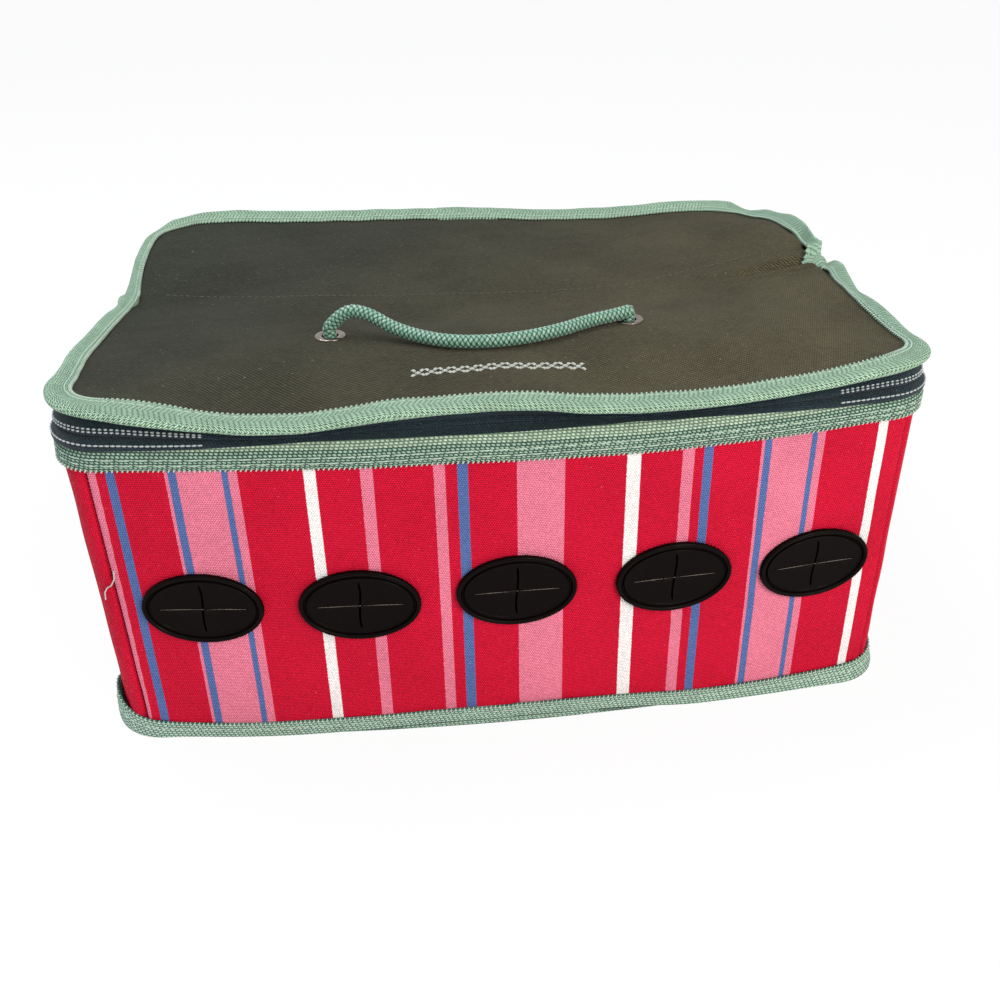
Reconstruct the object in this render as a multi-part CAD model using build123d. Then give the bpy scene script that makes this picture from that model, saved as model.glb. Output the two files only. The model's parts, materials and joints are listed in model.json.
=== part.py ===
from build123d import *
import os
from math import cos, radians, sin, sqrt, tan

# A soft sided ribbon organizer: a striped canvas box with five rubber slots in its
# front, a rod for the spools inside, and a zipped lid that folds in two.
# Millimetres. The origin is on the table, under the middle of the box.
# +X is to the right of someone facing the slots, -Y is the front and +Z is up.

# The box in plan
BOX_WIDTH = 340.0
BOX_DEPTH = 263.0
FRONT_BOW = 14.0
BACK_BOW = 3.0
CORNER_RADIUS = 23.0
FRONT_SEAM_ANGLE = 37.0
BACK_SEAM_ANGLE = 45.0

# The layers of a wall and of the base
CANVAS = 1.0
BOARD = 2.0
LINING = 0.6
LAYER_GAP = 0.1
WALL_HEIGHT = 138.8

# The webbing that binds the edges
WEBBING = 1.1
RIM_BINDING_DROP = 11.0
BASE_BINDING_RISE = 9.5
BASE_BINDING_FLANGE = 10.0

# The zip between the rim and the lid
ZIP_END_BEFORE_CORNER = 4.5
TAPE = 0.6
TAPE_INSET = 0.3
TAPE_SHOW = 2.4
COIL_HEIGHT = 1.2
COIL_DEPTH = 2.2
COIL_PROUD = 0.7
COIL_SPLIT = 1.2
STOP_LENGTH = 2.0
STOP_DEPTH = 2.6

# The lid
LID_SIDE_OVERHANG = 4.0
LID_END_OVERHANG = 6.0
LID_CORNER_RADIUS = 30.0
LID_BOARD = 1.6
LID_FABRIC = 0.9
LID_LINING = 0.5
LID_BINDING_WIDTH = 9.5
LID_BOARD_MARGIN = 3.0
FOLD_BEHIND_MIDDLE = 25.0
FOLD_STRIP = 12.0
FOLD_SPLIT = 0.5

# The rubber slots in the front
SLOT_COUNT = 5
SLOT_FROM_SIDE = 44.0
SLOT_ROW_RIGHT = 2.4
SLOT_HEIGHT = 69.8
SLOT_LENGTH = 49.0
SLOT_WIDTH = 33.0
SLOT_RIM = 3.0
SLOT_PROUD = 2.2
SLOT_RIM_ROUND = 0.9
SLOT_LIP = 5.0
SLOT_MEMBRANE = 1.0
SLOT_BARREL = 1.6
SLOT_CUT = 0.5
SLOT_CUT_LENGTH = 36.0
SLOT_CUT_DROP = 19.0
SLOT_FIT = 0.2
RETAINER = 1.4
RETAINER_SEAT = 0.5

# How far each slot stands right of and above its even place in the row
SLOT_SHIFTS = [(-0.1, -0.6), (-0.7, -0.7), (-0.8, 1.9), (1.2, 1.1), (-0.2, -1.6)]

# The spool rod and its brackets
ROD_RADIUS = 5.0
ROD_FIT = 0.3
ROD_END_PLAY = 0.6
ROD_BEHIND_FRONT = 76.5
ROD_HEIGHT = 72.0
BRACKET_PLATE = 2.2
BRACKET_WIDTH = 44.0
BRACKET_HEIGHT = 44.0
BRACKET_CORNER = 6.0
CRADLE_WALL = 2.5
CRADLE_REACH = 11.0
CRADLE_HORN = 10.0
RIVET_SPACING = 27.0
RIVET_RADIUS = 1.6
RIVET_FIT = 0.1
RIVET_HEAD_RADIUS = 3.5
RIVET_HEAD = 1.0

# The rope handle and its eyelets
ROPE_RADIUS = 2.75
EYELET_SPACING = 126.0
HANDLE_LEFT_OF_MIDDLE = 4.0
EYELETS_BEHIND_FRONT = 78.5
EYELET_FLANGE_RADIUS = 6.5
EYELET_FLANGE = 0.7
EYELET_WALL = 0.8
EYELET_LINING_FIT = 0.1
EYELET_TAIL = 0.4
ROPE_FIT = 0.55
WASHER = 0.8
KNOT_RADIUS = 6.0
KNOT_HEIGHT = 9.0
KNOT_GAP = 0.3

# The handle's rope lies on the lid from the left eyelet to the right one.
# Each point is right of the middle, behind the middle and above the lid's fabric.
ROPE_ROUTE = [
    (-60.5, -59.5, 11.3),
    (-51.0, -62.5, 10.8),
    (-39.0, -69.5, 4.8),
    (-20.0, -80.5, 3.15),
    (3.0, -82.8, 3.15),
    (25.0, -76.0, 3.15),
    (42.0, -65.0, 3.2),
    (52.0, -62.5, 3.6),
]
ROPE_ARC_SHARE = 0.45

# The zip's slider and its pull
SLIDER_LENGTH = 9.0
SLIDER_HEIGHT = 5.2
SLIDER_PLATE = 0.9
SLIDER_FIT = 0.4
SLIDER_NECK_HEIGHT = 0.8
SLIDER_NECK_LENGTH = 2.5
SLIDER_FROM_END = 4.5
PULL_PIN_RADIUS = 0.45
PULL_PIN_FIT = 0.05
PULL_PIN_STANDOFF = 1.0
PULL_EYE_RADIUS = 0.9
PULL_EYE_WIDTH = 2.6
PULL_EAR = 0.7
PULL_EAR_FIT = 0.2
PULL_LENGTH = 26.0
PULL_WIDTH = 4.6
PULL_NECK = 2.5
PULL_THICKNESS = 1.0
PULL_HOLE_RADIUS = 1.2

# Places that follow from the sizes above
HALF_WIDTH = BOX_WIDTH / 2
HALF_DEPTH = BOX_DEPTH / 2
WALL = CANVAS + BOARD + LINING + 2 * LAYER_GAP
BOARD_INSET = CANVAS + LAYER_GAP
LINING_INSET = BOARD_INSET + BOARD + LAYER_GAP
BASE_Z = WEBBING + LAYER_GAP
WALL_Z = BASE_Z + CANVAS + LAYER_GAP
BASE_LINING_Z = WALL_Z + BOARD + LAYER_GAP
WALL_TOP = WALL_Z + WALL_HEIGHT
RIM_TOP = WALL_TOP + LAYER_GAP + WEBBING
LOWER_TAPE_Z = RIM_TOP + LAYER_GAP
LOWER_COIL_Z = LOWER_TAPE_Z + TAPE_SHOW + LAYER_GAP
UPPER_COIL_Z = LOWER_COIL_Z + COIL_HEIGHT + COIL_SPLIT
UPPER_TAPE_Z = UPPER_COIL_Z + COIL_HEIGHT + LAYER_GAP
ZIP_MIDDLE_Z = LOWER_COIL_Z + COIL_HEIGHT + COIL_SPLIT / 2
LID_Z = UPPER_TAPE_Z + TAPE_SHOW + LAYER_GAP
LID_LINING_Z = LID_Z + WEBBING + LAYER_GAP
LID_BOARD_Z = LID_LINING_Z + LID_LINING + LAYER_GAP
LID_FABRIC_Z = LID_BOARD_Z + LID_BOARD + LAYER_GAP
LID_FABRIC_TOP = LID_FABRIC_Z + LID_FABRIC
LID_TOP = LID_FABRIC_TOP + LAYER_GAP + WEBBING
FOLD_Y = FOLD_BEHIND_MIDDLE
SLOT_PITCH = (BOX_WIDTH - 2 * SLOT_FROM_SIDE) / (SLOT_COUNT - 1)
ROD_Y = ROD_BEHIND_FRONT - HALF_DEPTH
HANDLE_X = -HANDLE_LEFT_OF_MIDDLE
EYELET_Y = EYELETS_BEHIND_FRONT - HALF_DEPTH - LID_END_OVERHANG
EYELET_Z = LID_FABRIC_TOP + LAYER_GAP
EYELET_TOP = EYELET_Z + EYELET_FLANGE
EYELET_BORE_RADIUS = ROPE_RADIUS + ROPE_FIT
EYELET_HOLE_RADIUS = EYELET_BORE_RADIUS + EYELET_WALL + EYELET_LINING_FIT
WASHER_Z = LID_LINING_Z - LAYER_GAP - WASHER
EYELET_BOTTOM = WASHER_Z - EYELET_TAIL
ROPE_PIVOT_Z = EYELET_TOP + KNOT_GAP + ROPE_RADIUS
FRONT_BOW_RADIUS = (HALF_WIDTH**2 + FRONT_BOW**2) / (2 * FRONT_BOW)
FAR = BOX_WIDTH + BOX_DEPTH


def bowed_plan(half_width, half_depth, radius, inset=0.0):
    """Outline in plan: straight sides, a bowed front and back, round corners."""
    side = half_width - inset
    ends = []
    for sign, bow in ((-1, FRONT_BOW), (1, BACK_BOW)):
        bow_radius = (half_width**2 + bow**2) / (2 * bow)
        centre = sign * (half_depth - bow_radius)
        corner = centre + sign * sqrt((bow_radius - inset) ** 2 - side**2)
        ends.append((corner, sign * (half_depth - inset)))
    (front, front_middle), (back, back_middle) = ends
    outline = [
        ThreePointArc((-side, front), (0, front_middle), (side, front)),
        Line((side, front), (side, back)),
        ThreePointArc((side, back), (0, back_middle), (-side, back)),
        Line((-side, back), (-side, front)),
    ]
    face = make_face(outline)
    return fillet(face.vertices(), radius - inset)


def box_plan(inset=0.0):
    """The box's outline, at a depth inside the outer face of its canvas."""
    return bowed_plan(HALF_WIDTH, HALF_DEPTH, CORNER_RADIUS, inset)


def lid_plan(inset=0.0):
    """The lid's outline, at a depth inside the edge of its binding."""
    half_width = HALF_WIDTH + LID_SIDE_OVERHANG
    half_depth = HALF_DEPTH + LID_END_OVERHANG
    return bowed_plan(half_width, half_depth, LID_CORNER_RADIUS, inset)


def slab(face, low, high):
    """A face of the plan, from one height to another."""
    return Pos(0, 0, low) * extrude(face, high - low)


def ring(plan, outer, inner, low, high):
    """The wall between two insets of an outline, from one height to another."""
    return slab(plan(outer) - plan(inner), low, high)


def corner_centre(sign):
    """The middle of the right front corner's round, or the right back one's."""
    bow = FRONT_BOW if sign < 0 else BACK_BOW
    bow_radius = (HALF_WIDTH**2 + bow**2) / (2 * bow)
    x = HALF_WIDTH - CORNER_RADIUS
    centre = sign * (HALF_DEPTH - bow_radius)
    return x, centre + sign * sqrt((bow_radius - CORNER_RADIUS) ** 2 - x**2)


def seam_end(sign, angle):
    """A far point on the line of a right hand corner seam."""
    x, y = corner_centre(sign)
    return x + FAR * sin(radians(angle)), y + sign * FAR * cos(radians(angle))


def mirrored(points):
    """The same points on the other side of the middle, in the other order."""
    return [(-x, y) for x, y in reversed(points)]


def zone(*points):
    """A tall prism over a polygon of the plan, to keep one panel of a ring."""
    return slab(make_face(Polyline(*points, close=True)), -FAR, FAR)


def behind(y):
    """Everything behind a line across the box."""
    return zone((-FAR, y), (FAR, y), (FAR, FAR), (-FAR, FAR))


def before(y):
    """Everything in front of a line across the box."""
    return zone((-FAR, y), (FAR, y), (FAR, -FAR), (-FAR, -FAR))


FRONT_RIGHT = [corner_centre(-1), seam_end(-1, FRONT_SEAM_ANGLE)]
BACK_RIGHT = [seam_end(1, BACK_SEAM_ANGLE), corner_centre(1)]


def panel_zone(side):
    """The part of the plan that one sewn wall panel covers, out to its seams."""
    if side == "front":
        return zone(*FRONT_RIGHT, *mirrored(FRONT_RIGHT))
    if side == "back":
        return zone(*BACK_RIGHT, *mirrored(BACK_RIGHT))
    right = FRONT_RIGHT + BACK_RIGHT
    return zone(*(right if side == "right" else mirrored(right)))


def board_zone(side):
    """The part of the plan that one stiff board covers, between the corners."""
    x, front = corner_centre(-1)
    back = corner_centre(1)[1]
    if side in ("front", "back"):
        y = front if side == "front" else back
        end = -FAR if side == "front" else FAR
        return zone((-x, y), (x, y), (x, end), (-x, end))
    sign = 1 if side == "right" else -1
    return zone((sign * x, front), (sign * FAR, front), (sign * FAR, back), (sign * x, back))


def slot_plane(index):
    """The plane that touches the canvas at one slot, with its normal outwards."""
    right, up = SLOT_SHIFTS[index]
    x = SLOT_ROW_RIGHT + (index - (SLOT_COUNT - 1) / 2) * SLOT_PITCH + right
    depth = sqrt(FRONT_BOW_RADIUS**2 - x**2)
    normal = (x / FRONT_BOW_RADIUS, -depth / FRONT_BOW_RADIUS, 0)
    tangent = (-normal[1], normal[0], 0)
    y = FRONT_BOW_RADIUS - HALF_DEPTH - depth
    return Plane((x, y, SLOT_HEIGHT + up), x_dir=tangent, z_dir=normal)


def oval(inset):
    """The slot's outline, at a distance inside its rim."""
    return Ellipse(SLOT_LENGTH / 2 - inset, SLOT_WIDTH / 2 - inset)


def slot_holes():
    """The five holes through the front wall that the slots' barrels fill."""
    hole = Pos(0, 0, -2 * WALL) * extrude(oval(SLOT_RIM), 3 * WALL)
    return [slot_plane(index) * hole for index in range(SLOT_COUNT)]


def slot(index):
    """One moulded rubber slot: a raised rim, a barrel and a cross-cut membrane."""
    depth = WALL + RETAINER + RETAINER_SEAT
    barrel_outer = SLOT_RIM + SLOT_FIT
    rim = extrude(oval(0), SLOT_PROUD)
    rim = fillet(rim.edges().group_by(Axis.Z)[-1], SLOT_RIM_ROUND)
    barrel = Pos(0, 0, -depth) * extrude(oval(barrel_outer), depth)
    body = rim + barrel
    body -= Pos(0, 0, SLOT_MEMBRANE) * extrude(oval(SLOT_LIP), SLOT_PROUD)
    body -= Pos(0, 0, -depth) * extrude(oval(barrel_outer + SLOT_BARREL), depth)
    body -= Box(SLOT_CUT_LENGTH, SLOT_CUT, 2 * SLOT_PROUD)
    body -= Box(SLOT_CUT, SLOT_CUT_DROP, 2 * SLOT_PROUD)
    return slot_plane(index) * body


def slot_retainer(index):
    """The ring that holds one slot's barrel from inside the box."""
    barrel_outer = SLOT_RIM + SLOT_FIT
    ring_face = oval(SLOT_FIT) - oval(barrel_outer - SLOT_FIT)
    low = -(WALL + RETAINER_SEAT + RETAINER)
    return slot_plane(index) * Pos(0, 0, low) * extrude(ring_face, RETAINER)


def rivet_places():
    """Each bracket rivet's place along the side wall, clear of the rod's way in."""
    return [ROD_Y - RIVET_SPACING / 2, ROD_Y + RIVET_SPACING / 2]


def across(x, y, z, radius, length):
    """A round bar along +X from a point."""
    return Pos(x, y, z) * Rot(0, 90, 0) * Cylinder(
        radius, length, align=(Align.CENTER, Align.CENTER, Align.MIN)
    )


def sided(solid, side):
    """A solid made for the right hand side, on the side asked for."""
    return solid if side == "right" else mirror(solid, Plane.YZ)


def rivet_holes(side):
    """The holes through a side wall for its bracket's rivets."""
    start = HALF_WIDTH - WALL - BRACKET_PLATE - 2 * LAYER_GAP
    radius = RIVET_RADIUS + RIVET_FIT
    length = HALF_WIDTH - CANVAS - start
    bars = [across(start, y, ROD_HEIGHT, radius, length) for y in rivet_places()]
    return [sided(bar, side) for bar in bars]


def wall_panel(side):
    """One outer canvas panel, from the base to the rim."""
    panel = ring(box_plan, 0, CANVAS, WALL_Z, WALL_TOP) & panel_zone(side)
    return panel - slot_holes() if side == "front" else panel


def wall_board(side):
    """One stiff board inside a wall."""
    board = ring(box_plan, BOARD_INSET, BOARD_INSET + BOARD, BASE_LINING_Z, WALL_TOP)
    board &= board_zone(side)
    if side == "front":
        return board - slot_holes()
    return board if side == "back" else board - rivet_holes(side)


def wall_lining(side):
    """One inner lining panel."""
    lining = ring(box_plan, LINING_INSET, WALL, BASE_LINING_Z, WALL_TOP) & panel_zone(side)
    if side == "front":
        return lining - slot_holes()
    return lining if side == "back" else lining - rivet_holes(side)


def base_panel():
    """The canvas under the box."""
    return slab(box_plan(0), BASE_Z, BASE_Z + CANVAS)


def base_board():
    """The board that keeps the base flat."""
    return slab(box_plan(BOARD_INSET), WALL_Z, WALL_Z + BOARD)


def base_lining():
    """The lining on the floor of the box."""
    return slab(box_plan(WALL + LAYER_GAP), BASE_LINING_Z, BASE_LINING_Z + LINING)


def rim_binding():
    """The webbing folded over the rim of the walls."""
    outer = -(LAYER_GAP + WEBBING)
    inner = WALL + LAYER_GAP + WEBBING
    bottom = RIM_TOP - RIM_BINDING_DROP
    whole = ring(box_plan, outer, inner, bottom, RIM_TOP)
    return whole - ring(box_plan, -LAYER_GAP, WALL + LAYER_GAP, bottom, RIM_TOP - WEBBING)


def base_binding():
    """The webbing round the bottom edge, turned under the base."""
    outer = -(LAYER_GAP + WEBBING)
    upright = ring(box_plan, outer, -LAYER_GAP, 0, BASE_BINDING_RISE)
    return upright + ring(box_plan, outer, BASE_BINDING_FLANGE, 0, WEBBING)


ZIP_END_Y = corner_centre(1)[1] - ZIP_END_BEFORE_CORNER


def zip_tape(low):
    """The zip's tape, round the front and the sides."""
    tape = ring(box_plan, TAPE_INSET, TAPE_INSET + TAPE, low, low + TAPE_SHOW)
    return tape & before(ZIP_END_Y)


def zip_coil(low):
    """The bead of teeth along one edge of a zip tape."""
    coil = ring(box_plan, -COIL_PROUD, COIL_DEPTH - COIL_PROUD, low, low + COIL_HEIGHT)
    return coil & before(ZIP_END_Y)


def zip_stop(side):
    """The metal stop at the end of the lower teeth."""
    x = HALF_WIDTH + COIL_PROUD - COIL_DEPTH / 2
    height = UPPER_COIL_Z - 2 * LAYER_GAP - LOWER_TAPE_Z
    low_end = (Align.CENTER, Align.MIN, Align.MIN)
    block = Box(STOP_DEPTH, STOP_LENGTH, height, align=low_end)
    return sided(Pos(x, ZIP_END_Y + LAYER_GAP, LOWER_TAPE_Z) * block, side)


def hinge_strip():
    """The fabric that hinges the lid to the rim, round the back between the stops."""
    strip = ring(box_plan, TAPE_INSET, TAPE_INSET + TAPE, LOWER_TAPE_Z, LID_Z - LAYER_GAP)
    return strip & behind(ZIP_END_Y + STOP_LENGTH + 2 * LAYER_GAP)


def lid_half(solid, part, margin):
    """The rear or front part of the lid, stopping short of the fold."""
    if part == "rear":
        return solid & behind(FOLD_Y + margin)
    return solid & before(FOLD_Y - margin)


def eyelet_places():
    """The two eyelets' places across the lid."""
    return [HANDLE_X - EYELET_SPACING / 2, HANDLE_X + EYELET_SPACING / 2]


def eyelet_holes():
    """The holes through the front of the lid for the eyelets."""
    hole = Cylinder(EYELET_HOLE_RADIUS, 2 * LID_TOP)
    return [Pos(x, EYELET_Y, 0) * hole for x in eyelet_places()]


def lid_layer(part, inset, low, thick, margin):
    """One flat layer of a lid panel."""
    layer = lid_half(slab(lid_plan(inset), low, low + thick), part, margin)
    return layer if part == "rear" else layer - eyelet_holes()


def lid_fabric(part):
    """The twill on top of one lid panel."""
    inset = WEBBING + LAYER_GAP
    margin = FOLD_STRIP / 2 + LAYER_GAP
    return lid_layer(part, inset, LID_FABRIC_Z, LID_FABRIC, margin)


def lid_board(part):
    """The board that stiffens one lid panel."""
    return lid_layer(part, LID_BOARD_MARGIN, LID_BOARD_Z, LID_BOARD, FOLD_STRIP / 2)


def lid_lining(part):
    """The lining under one lid panel."""
    inset = WEBBING + LAYER_GAP
    return lid_layer(part, inset, LID_LINING_Z, LID_LINING, FOLD_SPLIT / 2)


def fold_strip():
    """The soft strip of twill between the two lid panels, where the lid folds."""
    strip = slab(lid_plan(WEBBING + LAYER_GAP), LID_FABRIC_Z, LID_FABRIC_TOP)
    return strip & behind(FOLD_Y - FOLD_STRIP / 2) & before(FOLD_Y + FOLD_STRIP / 2)


def lid_binding(part):
    """The webbing folded over the edge of one lid panel."""
    whole = ring(lid_plan, 0, LID_BINDING_WIDTH, LID_Z, LID_TOP)
    whole -= slab(lid_plan(WEBBING), LID_Z + WEBBING, LID_TOP - WEBBING)
    return lid_half(whole, part, FOLD_SPLIT / 2)


def upright(x, y, radius, low, high):
    """A round bar along +Z between two heights."""
    low_end = (Align.CENTER, Align.CENTER, Align.MIN)
    return Pos(x, y, low) * Cylinder(radius, high - low, align=low_end)


def eyelet(x):
    """A plated eyelet that the rope passes through."""
    wall = EYELET_BORE_RADIUS + EYELET_WALL
    flange = upright(x, EYELET_Y, EYELET_FLANGE_RADIUS, EYELET_Z, EYELET_TOP)
    flange = fillet(flange.edges().group_by(Axis.Z)[-1], EYELET_FLANGE / 2)
    body = flange + upright(x, EYELET_Y, wall, EYELET_BOTTOM, EYELET_TOP)
    return body - upright(x, EYELET_Y, EYELET_BORE_RADIUS, 0, LID_TOP + FAR)


def eyelet_washer(x):
    """The washer that the eyelet is set against, under the lid."""
    body = upright(x, EYELET_Y, EYELET_FLANGE_RADIUS, WASHER_Z, WASHER_Z + WASHER)
    return body - upright(x, EYELET_Y, EYELET_HOLE_RADIUS, 0, LID_TOP)


def rope_knot(x):
    """The knot under the lid, and the rope from it up through the eyelet."""
    top = EYELET_BOTTOM - KNOT_GAP
    knot = upright(x, EYELET_Y, KNOT_RADIUS, top - KNOT_HEIGHT, top)
    knot = fillet(knot.edges().filter_by(GeomType.CIRCLE), KNOT_HEIGHT * ROPE_ARC_SHARE)
    return knot + upright(x, EYELET_Y, ROPE_RADIUS, top - KNOT_HEIGHT / 2, EYELET_TOP)


def rope_points():
    """The handle rope's route, from the left eyelet to the right one."""
    left, right = [Vector(x, EYELET_Y, ROPE_PIVOT_Z) for x in eyelet_places()]
    return [left, *[Vector(x, y, LID_FABRIC_TOP + rise) for x, y, rise in ROPE_ROUTE], right]


def rope_radii(points):
    """Each bend's radius: as large as the two runs beside it allow."""
    radii = []
    for before_point, point, after_point in zip(points, points[1:], points[2:]):
        run_in = point - before_point
        run_out = after_point - point
        half_turn = radians(run_in.get_angle(run_out)) / 2
        shorter = min(run_in.length, run_out.length)
        radii.append(ROPE_ARC_SHARE * shorter / tan(half_turn))
    return radii


def handle_rope():
    """The rope handle, with a round end over each eyelet that it swings on."""
    points = rope_points()
    radii = rope_radii(points)
    path = FilletPolyline(*points, radius=radii)
    section = Plane(path @ 0, z_dir=path % 0) * Circle(ROPE_RADIUS)
    tube = sweep(section, path=path)
    area = section.area
    print("Rope bend radii:", [round(radius, 1) for radius in radii])
    print(f"Rope length {path.length:.1f}, tube volume {tube.volume:.0f} of {area * path.length:.0f}")
    ends = [Pos(*point) * Sphere(ROPE_RADIUS) for point in (points[0], points[-1])]
    return tube + ends


def slider_place():
    """The middle of the slider when the zip is closed, on the right hand side."""
    y = ZIP_END_Y - SLIDER_FROM_END
    return HALF_WIDTH + COIL_PROUD - COIL_DEPTH / 2, y, ZIP_MIDDLE_Z


def pull_pin_x():
    """The line of the pin that the pull swings on."""
    face = HALF_WIDTH + COIL_PROUD + SLIDER_FIT + SLIDER_PLATE
    return face + PULL_PIN_STANDOFF


def slider_body():
    """The zip's slider: two plates, the neck between them and the pull's pin."""
    x, y, z = slider_place()
    inside = COIL_DEPTH / 2 + SLIDER_FIT
    plate = Box(SLIDER_PLATE, SLIDER_LENGTH, SLIDER_HEIGHT)
    plate = fillet(plate.edges().filter_by(Axis.X), SLIDER_HEIGHT / 4)
    body = Pos(x + inside + SLIDER_PLATE / 2, y, z) * plate
    body += Pos(x - inside - SLIDER_PLATE / 2, y, z) * plate
    neck = Box(2 * inside + SLIDER_PLATE, SLIDER_NECK_LENGTH, SLIDER_NECK_HEIGHT)
    body += Pos(x, y + (SLIDER_LENGTH - SLIDER_NECK_LENGTH) / 2, z) * neck
    ear_low = PULL_EYE_WIDTH / 2 + PULL_EAR_FIT
    pin_half = ear_low + PULL_EAR
    reach = PULL_PIN_STANDOFF + PULL_PIN_RADIUS
    ear = Box(reach, 2 * PULL_EYE_RADIUS, PULL_EAR, align=(Align.MIN, Align.CENTER, Align.MIN))
    face = pull_pin_x() - PULL_PIN_STANDOFF
    body += Pos(face, y, z + ear_low) * ear
    body += Pos(face, y, z - pin_half) * ear
    return body + upright(pull_pin_x(), y, PULL_PIN_RADIUS, z - pin_half, z + pin_half)


def pull_tab():
    """The pull that hangs on the slider's pin and lies along the zip."""
    y, z = slider_place()[1:]
    x = pull_pin_x()
    eye = upright(x, y, PULL_EYE_RADIUS, z - PULL_EYE_WIDTH / 2, z + PULL_EYE_WIDTH / 2)
    toward_front = (Align.CENTER, Align.MAX, Align.CENTER)
    neck = Box(PULL_THICKNESS, PULL_NECK + PULL_WIDTH / 2, PULL_EYE_WIDTH, align=toward_front)
    blade = Box(PULL_THICKNESS, PULL_LENGTH - PULL_NECK, PULL_WIDTH, align=toward_front)
    blade = fillet(blade.edges().filter_by(Axis.X), PULL_WIDTH / 3)
    tab = eye + Pos(x, y, z) * neck + Pos(x, y - PULL_NECK, z) * blade
    hole_y = y - PULL_LENGTH + PULL_WIDTH / 2
    tab -= across(x - PULL_THICKNESS, hole_y, z, PULL_HOLE_RADIUS, 2 * PULL_THICKNESS)
    return tab - upright(x, y, PULL_PIN_RADIUS + PULL_PIN_FIT, z - PULL_WIDTH, z + PULL_WIDTH)


def bracket(side):
    """The cradle on a side wall that one end of the rod drops into."""
    wall_x = HALF_WIDTH - WALL - LAYER_GAP
    plate_face = Plane.YZ * RectangleRounded(BRACKET_WIDTH, BRACKET_HEIGHT, BRACKET_CORNER)
    plate = Pos(wall_x - BRACKET_PLATE, ROD_Y, ROD_HEIGHT) * extrude(plate_face, BRACKET_PLATE)
    inner = ROD_RADIUS + ROD_FIT
    outer = inner + CRADLE_WALL
    from_axis = (Align.CENTER, Align.MIN)
    horns = Circle(outer) + Rectangle(2 * outer, CRADLE_HORN, align=from_axis)
    way_in = Circle(inner) + Rectangle(2 * inner, 2 * CRADLE_HORN, align=from_axis)
    cradle_x = wall_x - BRACKET_PLATE - CRADLE_REACH
    cradle = extrude(Plane.YZ * (horns - way_in), CRADLE_REACH)
    body = plate + Pos(cradle_x, ROD_Y, ROD_HEIGHT) * cradle
    radius = RIVET_RADIUS + RIVET_FIT
    for y in rivet_places():
        body -= across(cradle_x, y, ROD_HEIGHT, radius, CRADLE_REACH + 2 * BRACKET_PLATE)
    return sided(body, side)


def bracket_rivets(side):
    """The two rivets that hold a bracket to its wall."""
    face = HALF_WIDTH - WALL - LAYER_GAP - BRACKET_PLATE - LAYER_GAP
    shank = HALF_WIDTH - BOARD_INSET - face
    rivets = []
    for y in rivet_places():
        head = across(face - RIVET_HEAD, y, ROD_HEIGHT, RIVET_HEAD_RADIUS, RIVET_HEAD)
        head = fillet(head.edges().group_by(Axis.X)[0], RIVET_HEAD / 2)
        rivets.append(sided(head + across(face, y, ROD_HEIGHT, RIVET_RADIUS, shank), side))
    return Compound(children=rivets)


def spool_rod():
    """The wooden rod that carries the ribbon spools."""
    half = HALF_WIDTH - WALL - LAYER_GAP - BRACKET_PLATE - ROD_END_PLAY
    rod = across(-half, ROD_Y, ROD_HEIGHT, ROD_RADIUS, 2 * half)
    return chamfer(rod.edges().filter_by(GeomType.CIRCLE), ROD_RADIUS / 8)


def all_parts():
    """Every separate piece, by the name of its node."""
    parts = {}
    for side in ("front", "back", "left", "right"):
        parts[f"{side}_panel"] = wall_panel(side)
        parts[f"{side}_board"] = wall_board(side)
        parts[f"{side}_lining"] = wall_lining(side)
    parts["base_panel"] = base_panel()
    parts["base_board"] = base_board()
    parts["base_lining"] = base_lining()
    parts["rim_binding"] = rim_binding()
    parts["base_binding"] = base_binding()
    for index in range(SLOT_COUNT):
        parts[f"ribbon_slot_{index + 1}"] = slot(index)
        parts[f"slot_retainer_{index + 1}"] = slot_retainer(index)
    for side in ("left", "right"):
        parts[f"rod_bracket_{side}"] = bracket(side)
        parts[f"bracket_rivets_{side}"] = bracket_rivets(side)
        parts[f"zip_stop_{side}"] = zip_stop(side)
    parts["spool_rod"] = spool_rod()
    parts["lower_zip_tape"] = zip_tape(LOWER_TAPE_Z)
    parts["lower_zip_coil"] = zip_coil(LOWER_COIL_Z)
    for part in ("rear", "front"):
        parts[f"lid_{part}_fabric"] = lid_fabric(part)
        parts[f"lid_{part}_board"] = lid_board(part)
        parts[f"lid_{part}_lining"] = lid_lining(part)
        parts[f"lid_{part}_binding"] = lid_binding(part)
        parts[f"lid_{part}_zip_tape"] = lid_half(zip_tape(UPPER_TAPE_Z), part, FOLD_SPLIT / 2)
        parts[f"lid_{part}_zip_coil"] = lid_half(zip_coil(UPPER_COIL_Z), part, FOLD_SPLIT / 2)
    parts["lid_hinge_strip"] = hinge_strip()
    parts["lid_fold_strip"] = fold_strip()
    for side, x in zip(("left", "right"), eyelet_places()):
        parts[f"eyelet_{side}"] = eyelet(x)
        parts[f"eyelet_washer_{side}"] = eyelet_washer(x)
        parts[f"rope_knot_{side}"] = rope_knot(x)
    parts["handle_rope"] = handle_rope()
    parts["zip_slider"] = slider_body()
    parts["zip_pull"] = pull_tab()
    return parts


os.makedirs("parts", exist_ok=True)
for name, solid in all_parts().items():
    export_step(solid, f"parts/{name}.step")
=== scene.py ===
import json
import logging
from collections.abc import Callable
from dataclasses import dataclass, field, replace
from enum import Enum
from functools import cached_property
from math import cos, pi, radians, sin, sqrt

import bpy
import numpy as np
from mathutils import Matrix, Vector


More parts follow.
